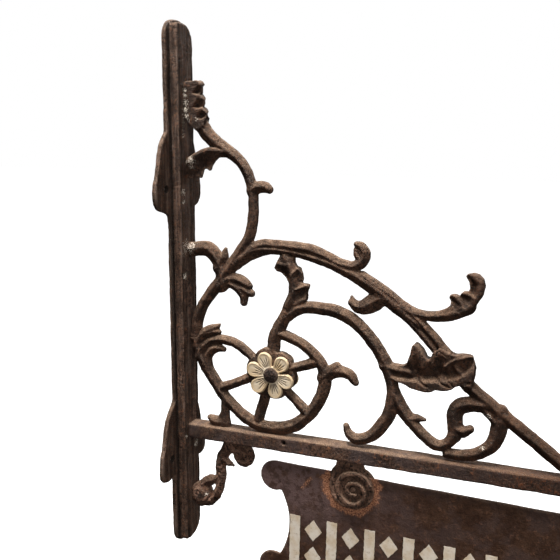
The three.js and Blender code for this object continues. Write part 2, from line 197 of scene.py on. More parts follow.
# ---------------------------------------------------------------- flat distances, in the plane of a grid
def smooth_rows(rows, step=2.0):
    """A smooth curve through rows of [u, v, width], as rows about a step apart."""
    p = np.array(rows, float)
    if len(p) == 2:
        p = np.array([p[0], (p[0] + p[1]) / 2, p[1]])
    ends = np.vstack([2 * p[0] - p[1], p, 2 * p[-1] - p[-2]])
    gap = np.sqrt(np.maximum(np.linalg.norm(np.diff(ends[:, :2], axis=0), axis=1), 1e-6))
    t = np.concatenate([[0], np.cumsum(gap)])
    out = []
    for i in range(1, len(ends) - 2):
        p0, p1, p2, p3 = ends[i - 1:i + 3]
        t0, t1, t2, t3 = t[i - 1:i + 3]
        count = max(2, int(np.linalg.norm(p2[:2] - p1[:2]) / step))
        for s in np.linspace(t1, t2, count, endpoint=False):
            a1 = (t1 - s) / (t1 - t0) * p0 + (s - t0) / (t1 - t0) * p1
            a2 = (t2 - s) / (t2 - t1) * p1 + (s - t1) / (t2 - t1) * p2
            a3 = (t3 - s) / (t3 - t2) * p2 + (s - t2) / (t3 - t2) * p3
            b1 = (t2 - s) / (t2 - t0) * a1 + (s - t0) / (t2 - t0) * a2
            b2 = (t3 - s) / (t3 - t1) * a2 + (s - t1) / (t3 - t1) * a3
            out.append((t2 - s) / (t2 - t1) * b1 + (s - t1) / (t2 - t1) * b2)
    out.append(p[-1])
    return np.array(out)


def line_distance(points, U, V):
    """Distance to a chain of points, and how far along the chain the nearest one is, 0 to 1."""
    p = np.array(points, float)
    best = np.full(U.shape, 1e9)
    along = np.zeros(U.shape)
    for i in range(len(p) - 1):
        du, dv = p[i + 1, :2] - p[i, :2]
        t = np.clip(((U - p[i, 0]) * du + (V - p[i, 1]) * dv) / (du * du + dv * dv + 1e-12), 0, 1)
        d = np.hypot(U - p[i, 0] - t * du, V - p[i, 1] - t * dv)
        near = d < best
        best = np.where(near, d, best)
        along = np.where(near, (i + t) / (len(p) - 1), along)
    return best, along


def polygon_distance(points, U, V):
    """Signed distance to a closed outline, negative inside."""
    p = np.array(points, float)
    d, _ = line_distance(np.vstack([p, p[:1]]), U, V)
    within = np.zeros(U.shape, bool)
    for (u0, v0), (u1, v1) in zip(p, np.roll(p, -1, axis=0)):
        crosses = (v0 > V) != (v1 > V)
        with np.errstate(divide="ignore", invalid="ignore"):
            within ^= crosses & (U < (u1 - u0) * (V - v0) / (v1 - v0) + u0)
    return np.where(within, -d, d)


def soft_min(a, b, k):
    h = np.clip(0.5 + 0.5 * (b - a) / k, 0, 1)
    return b + (a - b) * h - k * h * (1 - h)


def soft_max(a, b, k):
    return -soft_min(-a, -b, k)


def bump(d, width):
    """1 on a line, falling smoothly to 0 at a distance of about twice the width."""
    return np.exp(-(d / width) ** 2)


def ease(x, low, high):
    t = np.clip((x - low) / (high - low), 0, 1)
    return t * t * (3 - 2 * t)


# ---------------------------------------------------------------- solids as grids of distances
THIN_UNDER = 10.0  # a member narrower than this is thinner too
EDGE_SHARE = 0.25  # how much of a member's thickness is left at its edge
RIDGE_RISE = 0.16  # how far a ridge lies above its member's middle, of half the width


class Field:
    """A solid as distances to its surface, on a grid with x along the arm, y across it and z up."""

    def __init__(self, low, high, cell):
        self.cell = np.array(cell if np.ndim(cell) else (cell,) * 3, float)
        self.low = np.array(low, float)
        count = np.ceil((np.array(high, float) - self.low) / self.cell).astype(int) + 1
        self.x, self.y, self.z = (self.low[i] + self.cell[i] * np.arange(count[i]) for i in range(3))
        self.off = np.abs(self.y)[None, :, None]  # distance from the arm plane
        self.f = np.full(count, FAR, np.float32)

    def arm_plane(self):
        return np.meshgrid(self.x, self.z, indexing="ij")

    def wall_plane(self):
        return np.meshgrid(self.y, self.z, indexing="ij")

    def window(self, low, high):
        """The part of the arm plane between two corners: slices, and the coordinates there."""
        xs, zs = (slice(*np.searchsorted(a, (low[i], high[i]))) for i, a in enumerate((self.x, self.z)))
        return xs, zs, *np.meshgrid(self.x[xs], self.z[zs], indexing="ij")

    def fill(self, d, half, soft):
        """Sets the solid to a flat shape in the arm plane with a half thickness and softened edges."""
        self.set(soft_max(d[:, None, :], self.off - half, soft))

    def set(self, f):
        self.f = f.astype(np.float32)

    def keep(self, d):
        """Cuts off what lies where a distance is above zero."""
        self.set(np.maximum(self.f, d))

    def stroke(self, rows, depth=12.0):
        """A member along a curve in the arm plane: flat facets rise to a ridge on its front and back."""
        p = smooth_rows(rows)
        margin = p[:, 2].max() / 2 + 5
        xs, zs, X, Z = self.window(p[:, :2].min(0) - margin, p[:, :2].max(0) + margin)
        best = np.full(X.shape, 1e9)
        half, off_ridge = np.ones(X.shape), np.ones(X.shape)
        for a, b in zip(p[:-1], p[1:]):
            du, dv = b[:2] - a[:2]
            t = np.clip(((X - a[0]) * du + (Z - a[1]) * dv) / (du * du + dv * dv + 1e-12), 0, 1)
            w = (a[2] + (b[2] - a[2]) * t) / 2
            across, up = X - a[0] - t * du, Z - a[1] - t * dv
            q = np.hypot(across, up) / w
            near = q < best
            best = np.where(near, q, best)
            half = np.where(near, w, half)
            level = RIDGE_RISE * w * du / np.hypot(du, dv)
            off_ridge = np.where(near, np.abs((up * du - across * dv) / np.hypot(du, dv) - level), off_ridge)
        deep = depth / 2 * np.minimum(1, 2 * half / THIN_UNDER)  # half thickness at the ridge
        d = best * half
        off_ridge = np.maximum(off_ridge, d - RIDGE_RISE * half)
        slope = deep * (1 - EDGE_SHARE) / half
        ridge = np.sqrt(off_ridge ** 2 + 0.25) * slope - deep
        facet = (ridge[:, None, :] + self.off) / np.hypot(slope, 1)[:, None, :]
        f = soft_max((d - half)[:, None, :], facet, 1.2)
        self.f[xs, :, zs] = soft_min(self.f[xs, :, zs], f, 1.1)
        return d - half, xs, zs

    def leaf(self, outline, relief):
        """A flat leaf with a given outline; relief gives its half thickness over the plane."""
        p = np.array(outline, float)
        xs, zs, X, Z = self.window(p.min(0) - 6, p.max(0) + 6)
        d = polygon_distance(p, X, Z)
        f = soft_max(d[:, None, :], self.off - relief(X, Z)[:, None, :], 0.8)
        self.f[xs, :, zs] = soft_min(self.f[xs, :, zs], f, 1.0)
        return d, xs, zs

    def lumps(self, size, depth, seed):
        """Adds the slow unevenness of a sand casting."""
        rng = np.random.default_rng(seed)
        knots = [np.arange(a[0], a[-1] + size, size) for a in (self.x, self.y, self.z)]
        g = rng.uniform(-1, 1, [len(k) + 1 for k in knots])
        for axis, (k, a) in enumerate(zip(knots, (self.x, self.y, self.z))):
            at = (a - k[0]) / size
            i = np.minimum(at.astype(int), g.shape[axis] - 2)
            t = at - i
            t = (t * t * (3 - 2 * t)).reshape([-1 if n == axis else 1 for n in range(3)])
            g = np.take(g, i, axis) * (1 - t) + np.take(g, i + 1, axis) * t
        self.f += (depth * g).astype(np.float32)

    def hollows(self, reach):
        """How much solid lies round each grid point: under a half on ridges, over a half in corners."""
        full = np.clip(0.5 - self.f / self.cell.mean(), 0, 1)
        for axis in range(3):
            r = max(1, int(round(reach / self.cell[axis])))
            pad = [(r + 1, r) if a == axis else (0, 0) for a in range(3)]
            total = np.cumsum(np.pad(full, pad, mode="edge"), axis=axis)
            n = full.shape[axis]
            full = (np.take(total, np.arange(2 * r + 1, 2 * r + 1 + n), axis)
                    - np.take(total, np.arange(n), axis)) / (2 * r + 1)
        return full

    def mesh(self, name, cut=None):
        """The surface as a Blender object, with the point attributes hollow and wide."""
        f = self.f if cut is None else np.maximum(self.f, cut[:, None, :])
        grid = openvdb.FloatGrid(FAR)
        grid.copyFromArray(np.ascontiguousarray(f, np.float32))
        points, triangles, quads = grid.convertToPolygons(isovalue=0.0, adaptivity=0.0)
        at = np.array(points, float)
        faces = [tuple(int(i) for i in face) for face in (*quads, *triangles)]
        mesh = bpy.data.meshes.new(name)
        mesh.from_pydata((self.low + at * self.cell).tolist(), [], faces)
        mesh.validate()
        write_mark(mesh, "hollow", sample(self.hollows(3.0), at))
        write_mark(mesh, "wide", sample(self.hollows(7.0), at))
        if signed_volume(mesh) < 0:
            mesh.flip_normals()
        smooth_mesh(mesh)
        place(mesh)
        mesh.polygons.foreach_set("use_smooth", [True] * len(mesh.polygons))
        return add_object(name, mesh)


def write_mark(mesh, name, values):
    """Writes one number for each point, for the materials to read."""
    mesh.attributes.new(name, "FLOAT", "POINT").data.foreach_set("value", values.astype(np.float32))


def sample(values, at):
    """Grid values read between grid points."""
    top = np.array(values.shape) - 2
    i = np.clip(at.astype(int), 0, top)
    t = np.clip(at - i, 0, 1)
    out = np.zeros(len(at))
    for dx in (0, 1):
        for dy in (0, 1):
            for dz in (0, 1):
                w = (np.where(dx, t[:, 0], 1 - t[:, 0]) * np.where(dy, t[:, 1], 1 - t[:, 1])
                     * np.where(dz, t[:, 2], 1 - t[:, 2]))
                out += w * values[i[:, 0] + dx, i[:, 1] + dy, i[:, 2] + dz]
    return out


def signed_volume(mesh):
    mesh.calc_loop_triangles()
    corners = np.zeros(len(mesh.loop_triangles) * 3, int)
    mesh.loop_triangles.foreach_get("vertices", corners)
    at = points_of(mesh)[corners].reshape(-1, 3, 3)
    return np.einsum("ij,ij->i", at[:, 0], np.cross(at[:, 1], at[:, 2])).sum()


def points_of(mesh):
    at = np.zeros(len(mesh.vertices) * 3)
    mesh.vertices.foreach_get("co", at)
    return at.reshape(-1, 3)


def smooth_mesh(mesh):
    """Moves each point halfway to the middle of its neighbours."""
    edges = np.zeros(len(mesh.edges) * 2, int)
    mesh.edges.foreach_get("vertices", edges)
    a, b = edges.reshape(-1, 2).T
    at = points_of(mesh)
    count = np.bincount(a, minlength=len(at)) + np.bincount(b, minlength=len(at))
    total = np.zeros_like(at)
    for axis in range(3):
        total[:, axis] = (np.bincount(a, at[b, axis], len(at)) + np.bincount(b, at[a, axis], len(at)))
    at += 0.5 * (total / np.maximum(count, 1)[:, None] - at)
    mesh.vertices.foreach_set("co", at.ravel())


def place(mesh):
    """From millimetres above the foot of the wall plate to metres in the row frame."""
    at = points_of(mesh)
    at[:, 2] += FOOT
    mesh.vertices.foreach_set("co", (at * MM).ravel())
    mesh.update()


def points_above_foot(piece):
    """A piece's points in millimetres above the foot of the wall plate."""
    at = points_of(piece.data) / MM
    at[:, 2] -= FOOT
    return at


def finish_piece(piece, material, slot, *nodes):
    piece.data.materials.append(material)
    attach(piece, "root")
    if nodes:
        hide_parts(*nodes)


def cast_piece(field, name, material, slot, *nodes, cut=None, shaded_seams=(), hole_heights=()):
    """Meshes a field, marks where crust and painted seam shade lie on it, and finishes the piece."""
    piece = field.mesh(name, cut)
    add_crust(piece)
    if shaded_seams:
        add_seam_shade(piece, shaded_seams, hole_heights)
    finish_piece(piece, material, slot, *nodes)


# ---------------------------------------------------------------- places that parts and materials share
HUB = (112.3, 203.2)  # middle of the flower
HOLE_OUT = 27.0  # screw holes, from the middle of the wall plate
HOLE_HEIGHTS = (102, 392)
HANGER_XS = (201.6, 442.5)  # middles of the hangers' discs
HANGER_Z = 92.0
MEMBERS_START = 14.4  # where what meets the rail begins, just under the rail's face
BAR_TOP = 137.5
# Places with pale crust left in a joint: x, y, z and radius, in millimetres.
CRUST = [
    (17, -6.4, 491, 2.4), (17, -6.4, 485, 3), (17.3, -6.4, 479, 3.2), (17.3, -6.4, 472, 3.2),
    (17.6, -6.4, 465, 3.4), (18, -6.4, 459, 4.2), (18.5, -6.4, 453, 4.4), (17, -7, 446, 3.4),
    (30, -7, 462, 1.8), (20, -7, 333, 7), (19, -8, 325, 6), (20, -8, 317, 4), (22, -7, 421, 5),
    (22, -7, 414, 4), (15, 8, 109.5, 4.5), (15.5, -9, 388, 4), (15.5, -9, 378, 3), (22, -9, 66, 2.8),
    (34, -7, 58, 2.4), (16, -10, 300, 4), (332, -5, 187, 4), (328, -5, 156, 3), (265, -5, 217, 2.2),
    (14, -13, 123.5, 2.2),
]


def add_crust(piece):
    """Writes how near each point is to a place with crust."""
    at = points_above_foot(piece)
    mark = np.zeros(len(at))
    for x, y, z, radius in CRUST:
        d = np.linalg.norm(at - (x, y, z), axis=1)
        mark = np.maximum(mark, np.clip(1.35 - d / radius, 0, 1))
    write_mark(piece.data, "crust", mark)


def add_seam_shade(piece, lines, hole_heights):
    """Writes how near each point is to upright seams and screw holes, for painted shade there: x, y, reach
    and strength, on both sides.
    """
    at = points_above_foot(piece)
    mark = np.zeros(len(at))
    for x, y, reach, strength in lines:
        d = np.hypot(at[:, 0] - x, np.abs(at[:, 1]) - y)
        mark = np.maximum(mark, strength * (1 - ease(d, reach * 0.4, reach)))
    for hole_z in hole_heights:
        r = np.hypot(np.abs(at[:, 1]) - HOLE_OUT, at[:, 2] - hole_z)
        mark = np.maximum(mark, 0.95 * (1 - ease(r, 3.9, 4.8)))
    write_mark(piece.data, "seam_shade", mark)


# ---------------------------------------------------------------- materials
OXIDE, PIT, SPECK = (0.094, 0.050, 0.034), (0.010, 0.006, 0.005), (0.20, 0.130, 0.092)
PALE_STREAK, DARK_STREAK = (0.175, 0.124, 0.100), (0.014, 0.007, 0.005)
COLD_GREY, RED_RUST, WORN = (0.072, 0.052, 0.052), (0.24, 0.100, 0.050), (0.180, 0.122, 0.090)
# dust, with painted top light, for what faces up
DUST_AND_TOP_LIGHT = (0.270, 0.182, 0.124)
DARK_DUST_AND_TOP_LIGHT = (DUST_AND_TOP_LIGHT[0] * 0.38, DUST_AND_TOP_LIGHT[1] * 0.33, DUST_AND_TOP_LIGHT[2] * 0.29)
# near-black painted shade for corners, crevices and seams; a painted shade that darkens the arm's outer end;
# pale crust
CREVICE_SHADE, OUTER_SHADE, PALE_CRUST = (0.010, 0.007, 0.006), (0.40, 0.27, 0.20), (0.80, 0.72, 0.62)


def new_material(name):
    material = bpy.data.materials.new(name)
    material.use_nodes = True
    return material


def open_material(material):
    """Its node helper, its shader, and the place of each point in metres."""
    tree = material.node_tree
    where = tree.nodes.new("ShaderNodeTexCoord").outputs["Object"]
    return Nodes(tree), tree.nodes["Principled BSDF"], where


def iron(name, base=(0.021, 0.0105, 0.0075), warm=(0.088, 0.045, 0.028), dust_and_top_light=1.0, rusty=0.35, bumpy=0.75,
         specks=0.3, pits=1.0, corner_shade=0.8, streaky=0.0, cold=0.0, outer_shade=0.85, crust=True):
    """Old cast iron: oxide in patches, pitted, worn on the ridges, dusty on top with painted top light, with
    painted shade in the corners.
    """
    material = new_material(name)
    n, shader, where = open_material(material)
    hollow = n.attribute("hollow")
    wide = n.attribute("wide")
    broad = n.noise(where, 52, 5, 0.6)
    patch = n.noise(where, 150, 5, 0.6)
    fine = n.noise(where, 430, 4, 0.72)
    grain = n.noise(where, 950, 3, 0.7)
    # oxide in patches, with pale and dark pits
    colour = n.mix(n.ramp(broad, 0.38, 0.62), base, warm)
    colour = n.coat(colour, n.ramp(patch, 0.52, 0.70), 0.6, OXIDE)
    colour = n.coat(colour, n.ramp(fine, 0.50, 0.43), pits, PIT)
    colour = n.coat(colour, n.ramp(grain, 0.55, 0.66), specks, SPECK)
    if streaky:
        run = n.new("ShaderNodeMapping", Vector=where, Scale=(1, 1, 0.07))
        streak = n.noise(run.outputs[0], 300, 3, 0.6)
        colour = n.coat(colour, n.ramp(streak, 0.50, 0.66), streaky, PALE_STREAK)
        colour = n.coat(colour, n.ramp(streak, 0.48, 0.38), streaky, DARK_STREAK)
    if cold:
        chill = n.ramp(n.noise(where, 34, 4, 0.6), 0.44, 0.60)
        colour = n.coat(colour, chill, cold, COLD_GREY)
    # red rust where the patches let it through
    rust = n.times(n.ramp(patch, 0.54, 0.66), n.ramp(fine, 0.44, 0.60))
    colour = n.coat(colour, rust, rusty, RED_RUST)
    # dust on what faces up, partly painted top light, and bare worn iron on ridges
    geometry = n.new("ShaderNodeNewGeometry")
    up = n.ramp(n.split(geometry.outputs["Normal"])["Z"], 0.05, 0.80)
    up = n.times(up, n.ramp(n.add(patch, n.times(grain, 0.8)), 0.72, 1.06, 0.25, 1.0))
    up = n.times(up, n.ramp(wide, 0.62, 0.42, 0.15, 1.0))
    up = n.times(up, 0.90 * dust_and_top_light, clamp=True)
    colour = n.mix(up, colour, n.mix(n.ramp(grain, 0.40, 0.60), DARK_DUST_AND_TOP_LIGHT, DUST_AND_TOP_LIGHT))
    worn = n.times(n.ramp(hollow, 0.38, 0.22), n.ramp(fine, 0.40, 0.60, 0.1, 0.9))
    colour = n.coat(colour, worn, 0.6, WORN)
    # painted shade: darker in corners and crevices, and along seams, grooves and screw holes
    deep = n.math("MAXIMUM", n.times(n.ramp(wide, 0.50, 0.72), corner_shade), n.ramp(hollow, 0.60, 0.74, 0.0, 0.85))
    colour = n.mix(n.math("MAXIMUM", deep, n.attribute("seam_shade")), colour, CREVICE_SHADE)
    # painted shade: darker towards the outer end of the arm
    colour = n.mix(n.ramp(n.split(where)["X"], 0.19, 0.43, 0.0, outer_shade), colour, OUTER_SHADE, "MULTIPLY")
    if crust:
        # the nearer its middle, the more of the ground the grains of crust cover
        near_crust = n.attribute("crust")
        mark = n.ramp(n.add(n.noise(where, 900, 2, 0.6), n.times(near_crust, 0.19)), 0.668, 0.695)
        colour = n.coat(colour, mark, n.ramp(near_crust, 0.0, 0.2, 0.14, 1.0), PALE_CRUST)
    shader.inputs["Specular IOR Level"].default_value = 0.32
    shader.inputs["Specular Tint"].default_value = (1, 0.86, 0.76, 1)
    rough = n.add(n.ramp(fine, 0.35, 0.65, 0.40, 0.68), n.times(up, 0.20), clamp=True)
    height = n.add(n.add(fine, n.times(grain, 0.35)), n.times(patch, 0.8))
    n.finish(shader, colour, rough, height, bumpy, 0.0028)
    return material


def paint(name, clean, stain, veins, chips):
    """Old cream paint: stained in the hollows, rubbed on the edges, chipped to the iron in small specks."""
    material = new_material(name)
    n, shader, where = open_material(material)
    broad = n.noise(where, 90, 4)
    patch = n.noise(where, 330, 5, 0.6)
    fine = n.noise(where, 1300, 3, 0.65)
    colour = n.mix(n.ramp(broad, 0.35, 0.68), clean, stain)
    colour = n.coat(colour, n.ramp(patch, 0.5, 0.75), 0.5, (0.42, 0.31, 0.19))
    if veins:
        hollow = n.attribute("hollow")
        # a brown stain in the hollows, and near-black painted shade in the deepest crevices
        colour = n.coat(colour, n.ramp(hollow, 0.58, 0.72), 0.75, (0.17, 0.11, 0.07))
        colour = n.coat(colour, n.ramp(hollow, 0.72, 0.88), 0.85, (0.03, 0.02, 0.015))
        # a yellow stain beside the boss, and bare brown along the edges
        spot = n.new("ShaderNodeVectorMath", Vector=where)
        spot.operation = "DISTANCE"
        spot.inputs[1].default_value = ((HUB[0] + 8) * MM, -0.008, (HUB[1] + 8 + FOOT) * MM)
        colour = n.coat(colour, n.ramp(spot.outputs["Value"], 0.009, 0.003), 0.7, (0.62, 0.42, 0.20))
        colour = n.coat(colour, n.ramp(hollow, 0.44, 0.32), 0.7, (0.50, 0.365, 0.21))
        broken = n.ramp(patch, 0.35, 0.5, 0.55, 1.0)
        colour = n.coat(colour, n.ramp(n.attribute("vein"), 0.15, 0.6), broken, (0.060, 0.038, 0.026))
    chip = n.ramp(n.add(n.times(patch, 0.5), n.times(fine, 0.5)), 0.60, 0.66)
    colour = n.coat(colour, chip, chips, (0.06, 0.045, 0.038))
    n.finish(shader, colour, n.ramp(fine, 0.3, 0.7, 0.5, 0.75), n.add(fine, patch), 0.4, 0.0004)
    return material


HALO_SHIFT = (-3.6, 1.2)  # from a hanger's middle to the middle of the rust round it
SCRAPE = (149.5, 88.5)  # middle of the scraped streak
SCRAPE_WAY = (0.62, 0.78)


def sign_paint():
    """Dark sign enamel with rust round the hangers and one scraped streak."""
    material = iron("sign_enamel", base=(0.035, 0.0150, 0.0085), warm=(0.060, 0.029, 0.017), dust_and_top_light=0.4,
                    rusty=0.2, cold=0.35, outer_shade=0.15, bumpy=0.35, specks=0.12, pits=0.35, crust=False)
    n, shader, where = open_material(material)
    place = n.split(where)
    x, z = place["X"], place["Z"]
    ragged = n.noise(where, 130, 5, 0.65)
    fine = n.noise(where, 620, 4, 0.7)
    halo = 0.0
    for hanger_x in HANGER_XS:
        dx = n.math("SUBTRACT", x, (hanger_x + HALO_SHIFT[0]) * MM)
        dz = n.math("SUBTRACT", z, (HANGER_Z + HALO_SHIFT[1] + FOOT) * MM)
        r = n.math("SQRT", n.add(n.times(dx, dx), n.times(dz, dz)))
        r = n.add(r, n.times(n.math("SUBTRACT", ragged, 0.5), 0.020))
        halo = n.math("MAXIMUM", halo, n.times(n.ramp(r, 0.0335, 0.0290), n.ramp(dz, 0.018, 0.012)))
    # the scrape, upper left of the left hanger
    du = n.math("SUBTRACT", x, SCRAPE[0] * MM)
    dv = n.math("SUBTRACT", z, (SCRAPE[1] + FOOT) * MM)
    along = n.add(n.times(du, SCRAPE_WAY[0]), n.times(dv, SCRAPE_WAY[1]))
    across = n.math("SUBTRACT", n.times(du, SCRAPE_WAY[1]), n.times(dv, SCRAPE_WAY[0]))
    streak = n.times(n.ramp(n.math("ABSOLUTE", along), 0.011, 0.007),
                     n.ramp(n.math("ABSOLUTE", across), 0.0026, 0.0008))
    streak = n.times(streak, n.ramp(fine, 0.42, 0.62))
    amount = n.math("MAXIMUM", n.times(halo, n.ramp(fine, 0.30, 0.50)), streak)
    rust = n.mix(n.ramp(fine, 0.38, 0.66), (0.17, 0.066, 0.035), (0.60, 0.285, 0.165))
    # faded at the upper left, where the enamel has gone a purplish grey
    faded = n.times(n.ramp(x, 0.30, 0.13), n.ramp(z, 0.02 + FOOT * MM, 0.08 + FOOT * MM))
    faded = n.times(faded, n.ramp(ragged, 0.40, 0.56, 0.25, 1.0))
    enamel = shader.inputs["Base Color"].links[0].from_socket
    enamel = n.coat(enamel, faded, 0.9, (0.134, 0.086, 0.082))
    n.put(shader.inputs["Base Color"], n.mix(amount, enamel, rust))
    return material


IRON = iron("iron_casting")
IRON_POST = iron("iron_post", base=(0.046, 0.024, 0.016), warm=(0.125, 0.070, 0.048), rusty=0.5, dust_and_top_light=0.6,
                 specks=0.55, corner_shade=0.25, streaky=0.75)
IRON_BAR = iron("iron_bar", base=(0.034, 0.020, 0.017), warm=(0.110, 0.058, 0.038), rusty=0.9, dust_and_top_light=1.15,
                specks=0.4, pits=0.9, cold=0.5, outer_shade=0.95)
IRON_RIVET = iron("iron_rivet", base=(0.010, 0.007, 0.008), warm=(0.024, 0.017, 0.017), dust_and_top_light=0.15, rusty=0.0,
                  specks=0.2)
IRON_HANGER = iron("iron_hanger", base=(0.076, 0.042, 0.029), warm=(0.205, 0.118, 0.082), dust_and_top_light=0.6,
                   rusty=0.3, specks=0.15, bumpy=0.5, corner_shade=0.6, outer_shade=0.3)
IRON_RUSTY = iron("iron_under_scroll", base=(0.095, 0.051, 0.037), warm=(0.270, 0.150, 0.104), rusty=0.6,
                  dust_and_top_light=0.8, bumpy=1.2, corner_shade=0.45)
PAINTED_PETAL = paint("petal_cream", (0.74, 0.67, 0.55), (0.62, 0.49, 0.33), veins=True, chips=0.3)
FRIEZE_PAINT = paint("frieze_cream", (0.68, 0.62, 0.54), (0.58, 0.47, 0.34), veins=False, chips=0.7)
SIGN_PAINT = sign_paint()


# ---------------------------------------------------------------- the scrollwork casting
# Members as rows of [x, z, width].
SCROLLS = {
    "upper": [
        [[21, 468, 13], [30.8, 457.3, 15.5], [39.4, 446.4, 14.8], [51, 436.7, 13.8], [64.8, 428.5, 12.2],
         [77, 418.5, 11], [84.7, 406, 10.5], [88.8, 391, 10.5], [89.8, 376, 10.5], [88.8, 360, 11],
         [84.5, 343, 11.5], [75, 328, 12], [64, 313, 12], [53, 298, 12], [41, 283, 12], [30, 267, 12],
         [24, 251, 12], [21, 234, 12]],
        [[88, 391, 11], [96, 395, 12], [103, 395, 11], [107, 393, 8]],
        [[60, 430, 11], [49, 429, 11], [38, 427, 11], [27, 422, 12], [17, 416, 13]],
        [[15, 327, 15], [28, 329, 15], [38, 328.5, 16], [46, 322, 15.5], [52, 311, 14], [54, 298, 13]],
        [[50, 310, 13], [55.5, 320, 10], [58, 330, 4]],
        [[52, 291, 14], [61, 297.5, 15], [71, 298.5, 13], [79, 296, 10.5], [84.5, 293, 7]],
        [[64, 293.5, 9], [73, 290.5, 11.5], [80, 288, 11], [86.5, 285.5, 8]],
        [[68, 292, 8], [75, 287, 10], [78.5, 281, 9], [78.5, 275.5, 7.5]],
        [[79, 322, 9], [89, 332, 12], [102, 336.5, 12], [117, 336.5, 12], [134, 336, 12], [153, 334, 12],
         [170, 328, 11.5], [185, 322, 11], [197, 321, 10.5], [205, 326, 11], [208, 334, 11], [204, 341, 9],
         [200, 343, 6]],
        [[203, 328, 7], [199.5, 333, 6], [198, 337, 4]],
        [[198.5, 339, 3], [202, 336, 5], [206, 331, 5]],
        [[58, 304, 10], [69, 315, 13], [80, 324, 15], [92, 330, 14], [108, 332.5, 10.5], [132, 331, 8.5],
         [155, 327, 9], [176, 321, 11], [196, 313, 13], [213, 304.5, 13.5], [226, 296.5, 12]],
        [[194, 315, 11], [208, 307, 14], [222, 299, 15], [236, 289, 15], [249, 279, 13], [262, 269, 9]],
        [[206, 313, 8], [220, 305, 8], [233, 297, 8], [246, 287.3, 8.5], [259.5, 276.5, 9],
         [271.7, 264.6, 9], [283.8, 251.6, 9], [295.7, 237.6, 9], [304.6, 226.5, 9], [312.5, 217.3, 9]],
        [[222, 294.6, 8.6], [236.4, 287.5, 8.6], [248.5, 277.6, 8], [259.5, 266.7, 7.6], [271.5, 254.7, 7.6],
         [282.5, 242.5, 7.6], [292.5, 230.4, 8]],
        [[225, 291, 15], [218, 287, 18], [210, 282, 15], [202, 281, 12], [196, 284.5, 8]],
        [[200, 281, 8], [197, 286, 6], [195.5, 291, 3]],
        [[244, 286, 11], [257, 280, 11], [271, 278, 9.5], [285, 279.5, 11], [297, 284, 14], [308, 291, 17]],
    ],
    "wheel": [
        [[21, 233, 12], [26, 216, 13], [33, 202, 13.5], [42, 188, 13], [52, 174, 12.5], [64, 162, 12.5],
         [80, 150, 13], [96, 144, 13.5], [112, 143, 14], [130, 147, 14], [145, 157, 13], [157, 171, 13],
         [165, 186, 13], [168.5, 202, 13], [165, 217, 12], [155, 229, 11.5], [142, 238, 11], [129, 243, 11],
         [118, 246, 11]],
        [[24, 212, 9], [31, 223, 10], [41, 230.5, 10], [52, 233, 10], [65, 231.5, 10], [76, 226, 10],
         [85, 219.5, 9.5], [94, 212, 9]],
        [[21, 222, 8], [27, 233, 10], [35, 240, 11], [42, 243.5, 10], [47, 246.5, 6], [50.5, 249.5, 2]],
        [[36, 238, 10], [43, 240.5, 9], [49, 241, 5]],
        [[36, 203, 10], [35.5, 213, 10], [40.5, 220.5, 10.5], [47.5, 223.5, 9], [54, 222.5, 6]],
        [[167, 205, 14], [177, 212, 14], [187, 213, 12], [195, 210.5, 10.5], [200.5, 204, 7]],
        [[175, 212, 13], [181, 218.5, 8]],
        [[56, 168, 9], [55, 154, 10], [54, 143, 14], [54, 133, 17]],
        [[54, 142, 13], [45, 141, 13], [38, 144.5, 7]],
        [[54, 181, 10], [70, 188, 9.5], [88, 197, 10]],
        [[158, 220, 11], [145, 215, 10], [130, 210, 10]],
        [[149, 165, 11], [137, 176, 10], [124, 188, 10]],
        [[95, 152, 11], [99, 166, 11], [104, 184, 11]],
    ],
    "arm": [
        [[305, 221, 12], [315, 212, 13], [328, 202, 13], [343, 191, 13], [360, 179, 13], [378, 166, 13],
         [400, 150, 13], [424, 132, 13]],
        [[124, 262, 11], [138, 273, 12], [150, 276, 12], [165, 276, 12.5], [181, 274, 13], [197, 267, 13],
         [211, 255, 13], [224, 239, 13], [233, 223, 13], [238, 207, 12], [239, 192, 12.5], [236, 176, 13],
         [229, 163, 13], [220, 152, 12], [210, 146, 11.5], [200, 145, 11], [194, 150, 9], [191.5, 157, 6]],
        [[111.7, 226, 13], [112.8, 240, 13.8], [118, 252, 13.6], [124.6, 264, 12.2], [130, 277, 12],
         [134, 289, 11], [134, 301, 11], [131, 313, 12], [126, 326, 14]],
        [[230, 224, 10], [243, 222, 12], [256, 221, 12]],
        [[240, 199, 12], [248, 184, 13], [261, 168, 11.5], [274, 156, 11], [286, 150, 11], [296, 155, 10.5],
         [301, 163, 12]],
        [[256, 173.6, 9], [264, 175, 7.5], [271.5, 174.6, 4]],
        [[328, 196.6, 14.5], [316, 196.2, 14.6], [304.6, 192, 15.5], [300.8, 184, 15], [301.6, 172, 14.4],
         [301, 162, 12]],
        [[302.5, 171, 13], [309, 167.8, 11], [315.5, 171, 8]],
        [[343, 192, 15], [342.7, 176, 15.6], [337.8, 160, 13.6], [325.8, 148.8, 11.8], [311, 144, 11.4],
         [296, 143.8, 10.5]],
        [[329, 191.8, 8], [334, 187.4, 8], [338.5, 182.5, 8]],
    ],
}
SWELL = 0.8  # added to every width, for what the rounding of the edges takes off
NODES = {
    "upper": ("top_leaf", "main_stem", "stem_bud", "upper_branch", "side_branch", "hanging_leaf", "upper_arc",
              "diagonal_upper", "small_leaf", "hook_scroll"),
    "wheel": ("wheel_rim_left", "wheel_rim_base", "wheel_rim_right", "wheel_crook", "wheel_leaf_outer",
              "wheel_leaf_inner", "wheel_bud", "foot_leaf", "spoke_left", "spoke_right", "spoke_low_right",
              "spoke_low_left"),
    "arm": ("leaf_cluster", "diagonal_lower", "inner_arc", "centre_leaf", "thorn_stem", "ring_scroll_top",
            "ring_scroll_foot"),
}


def inside(points, X, Z, soft):
    """1 well inside an outline, falling to 0 over a soft edge."""
    return ease(-polygon_distance(points, X, Z), -soft / 2, soft)


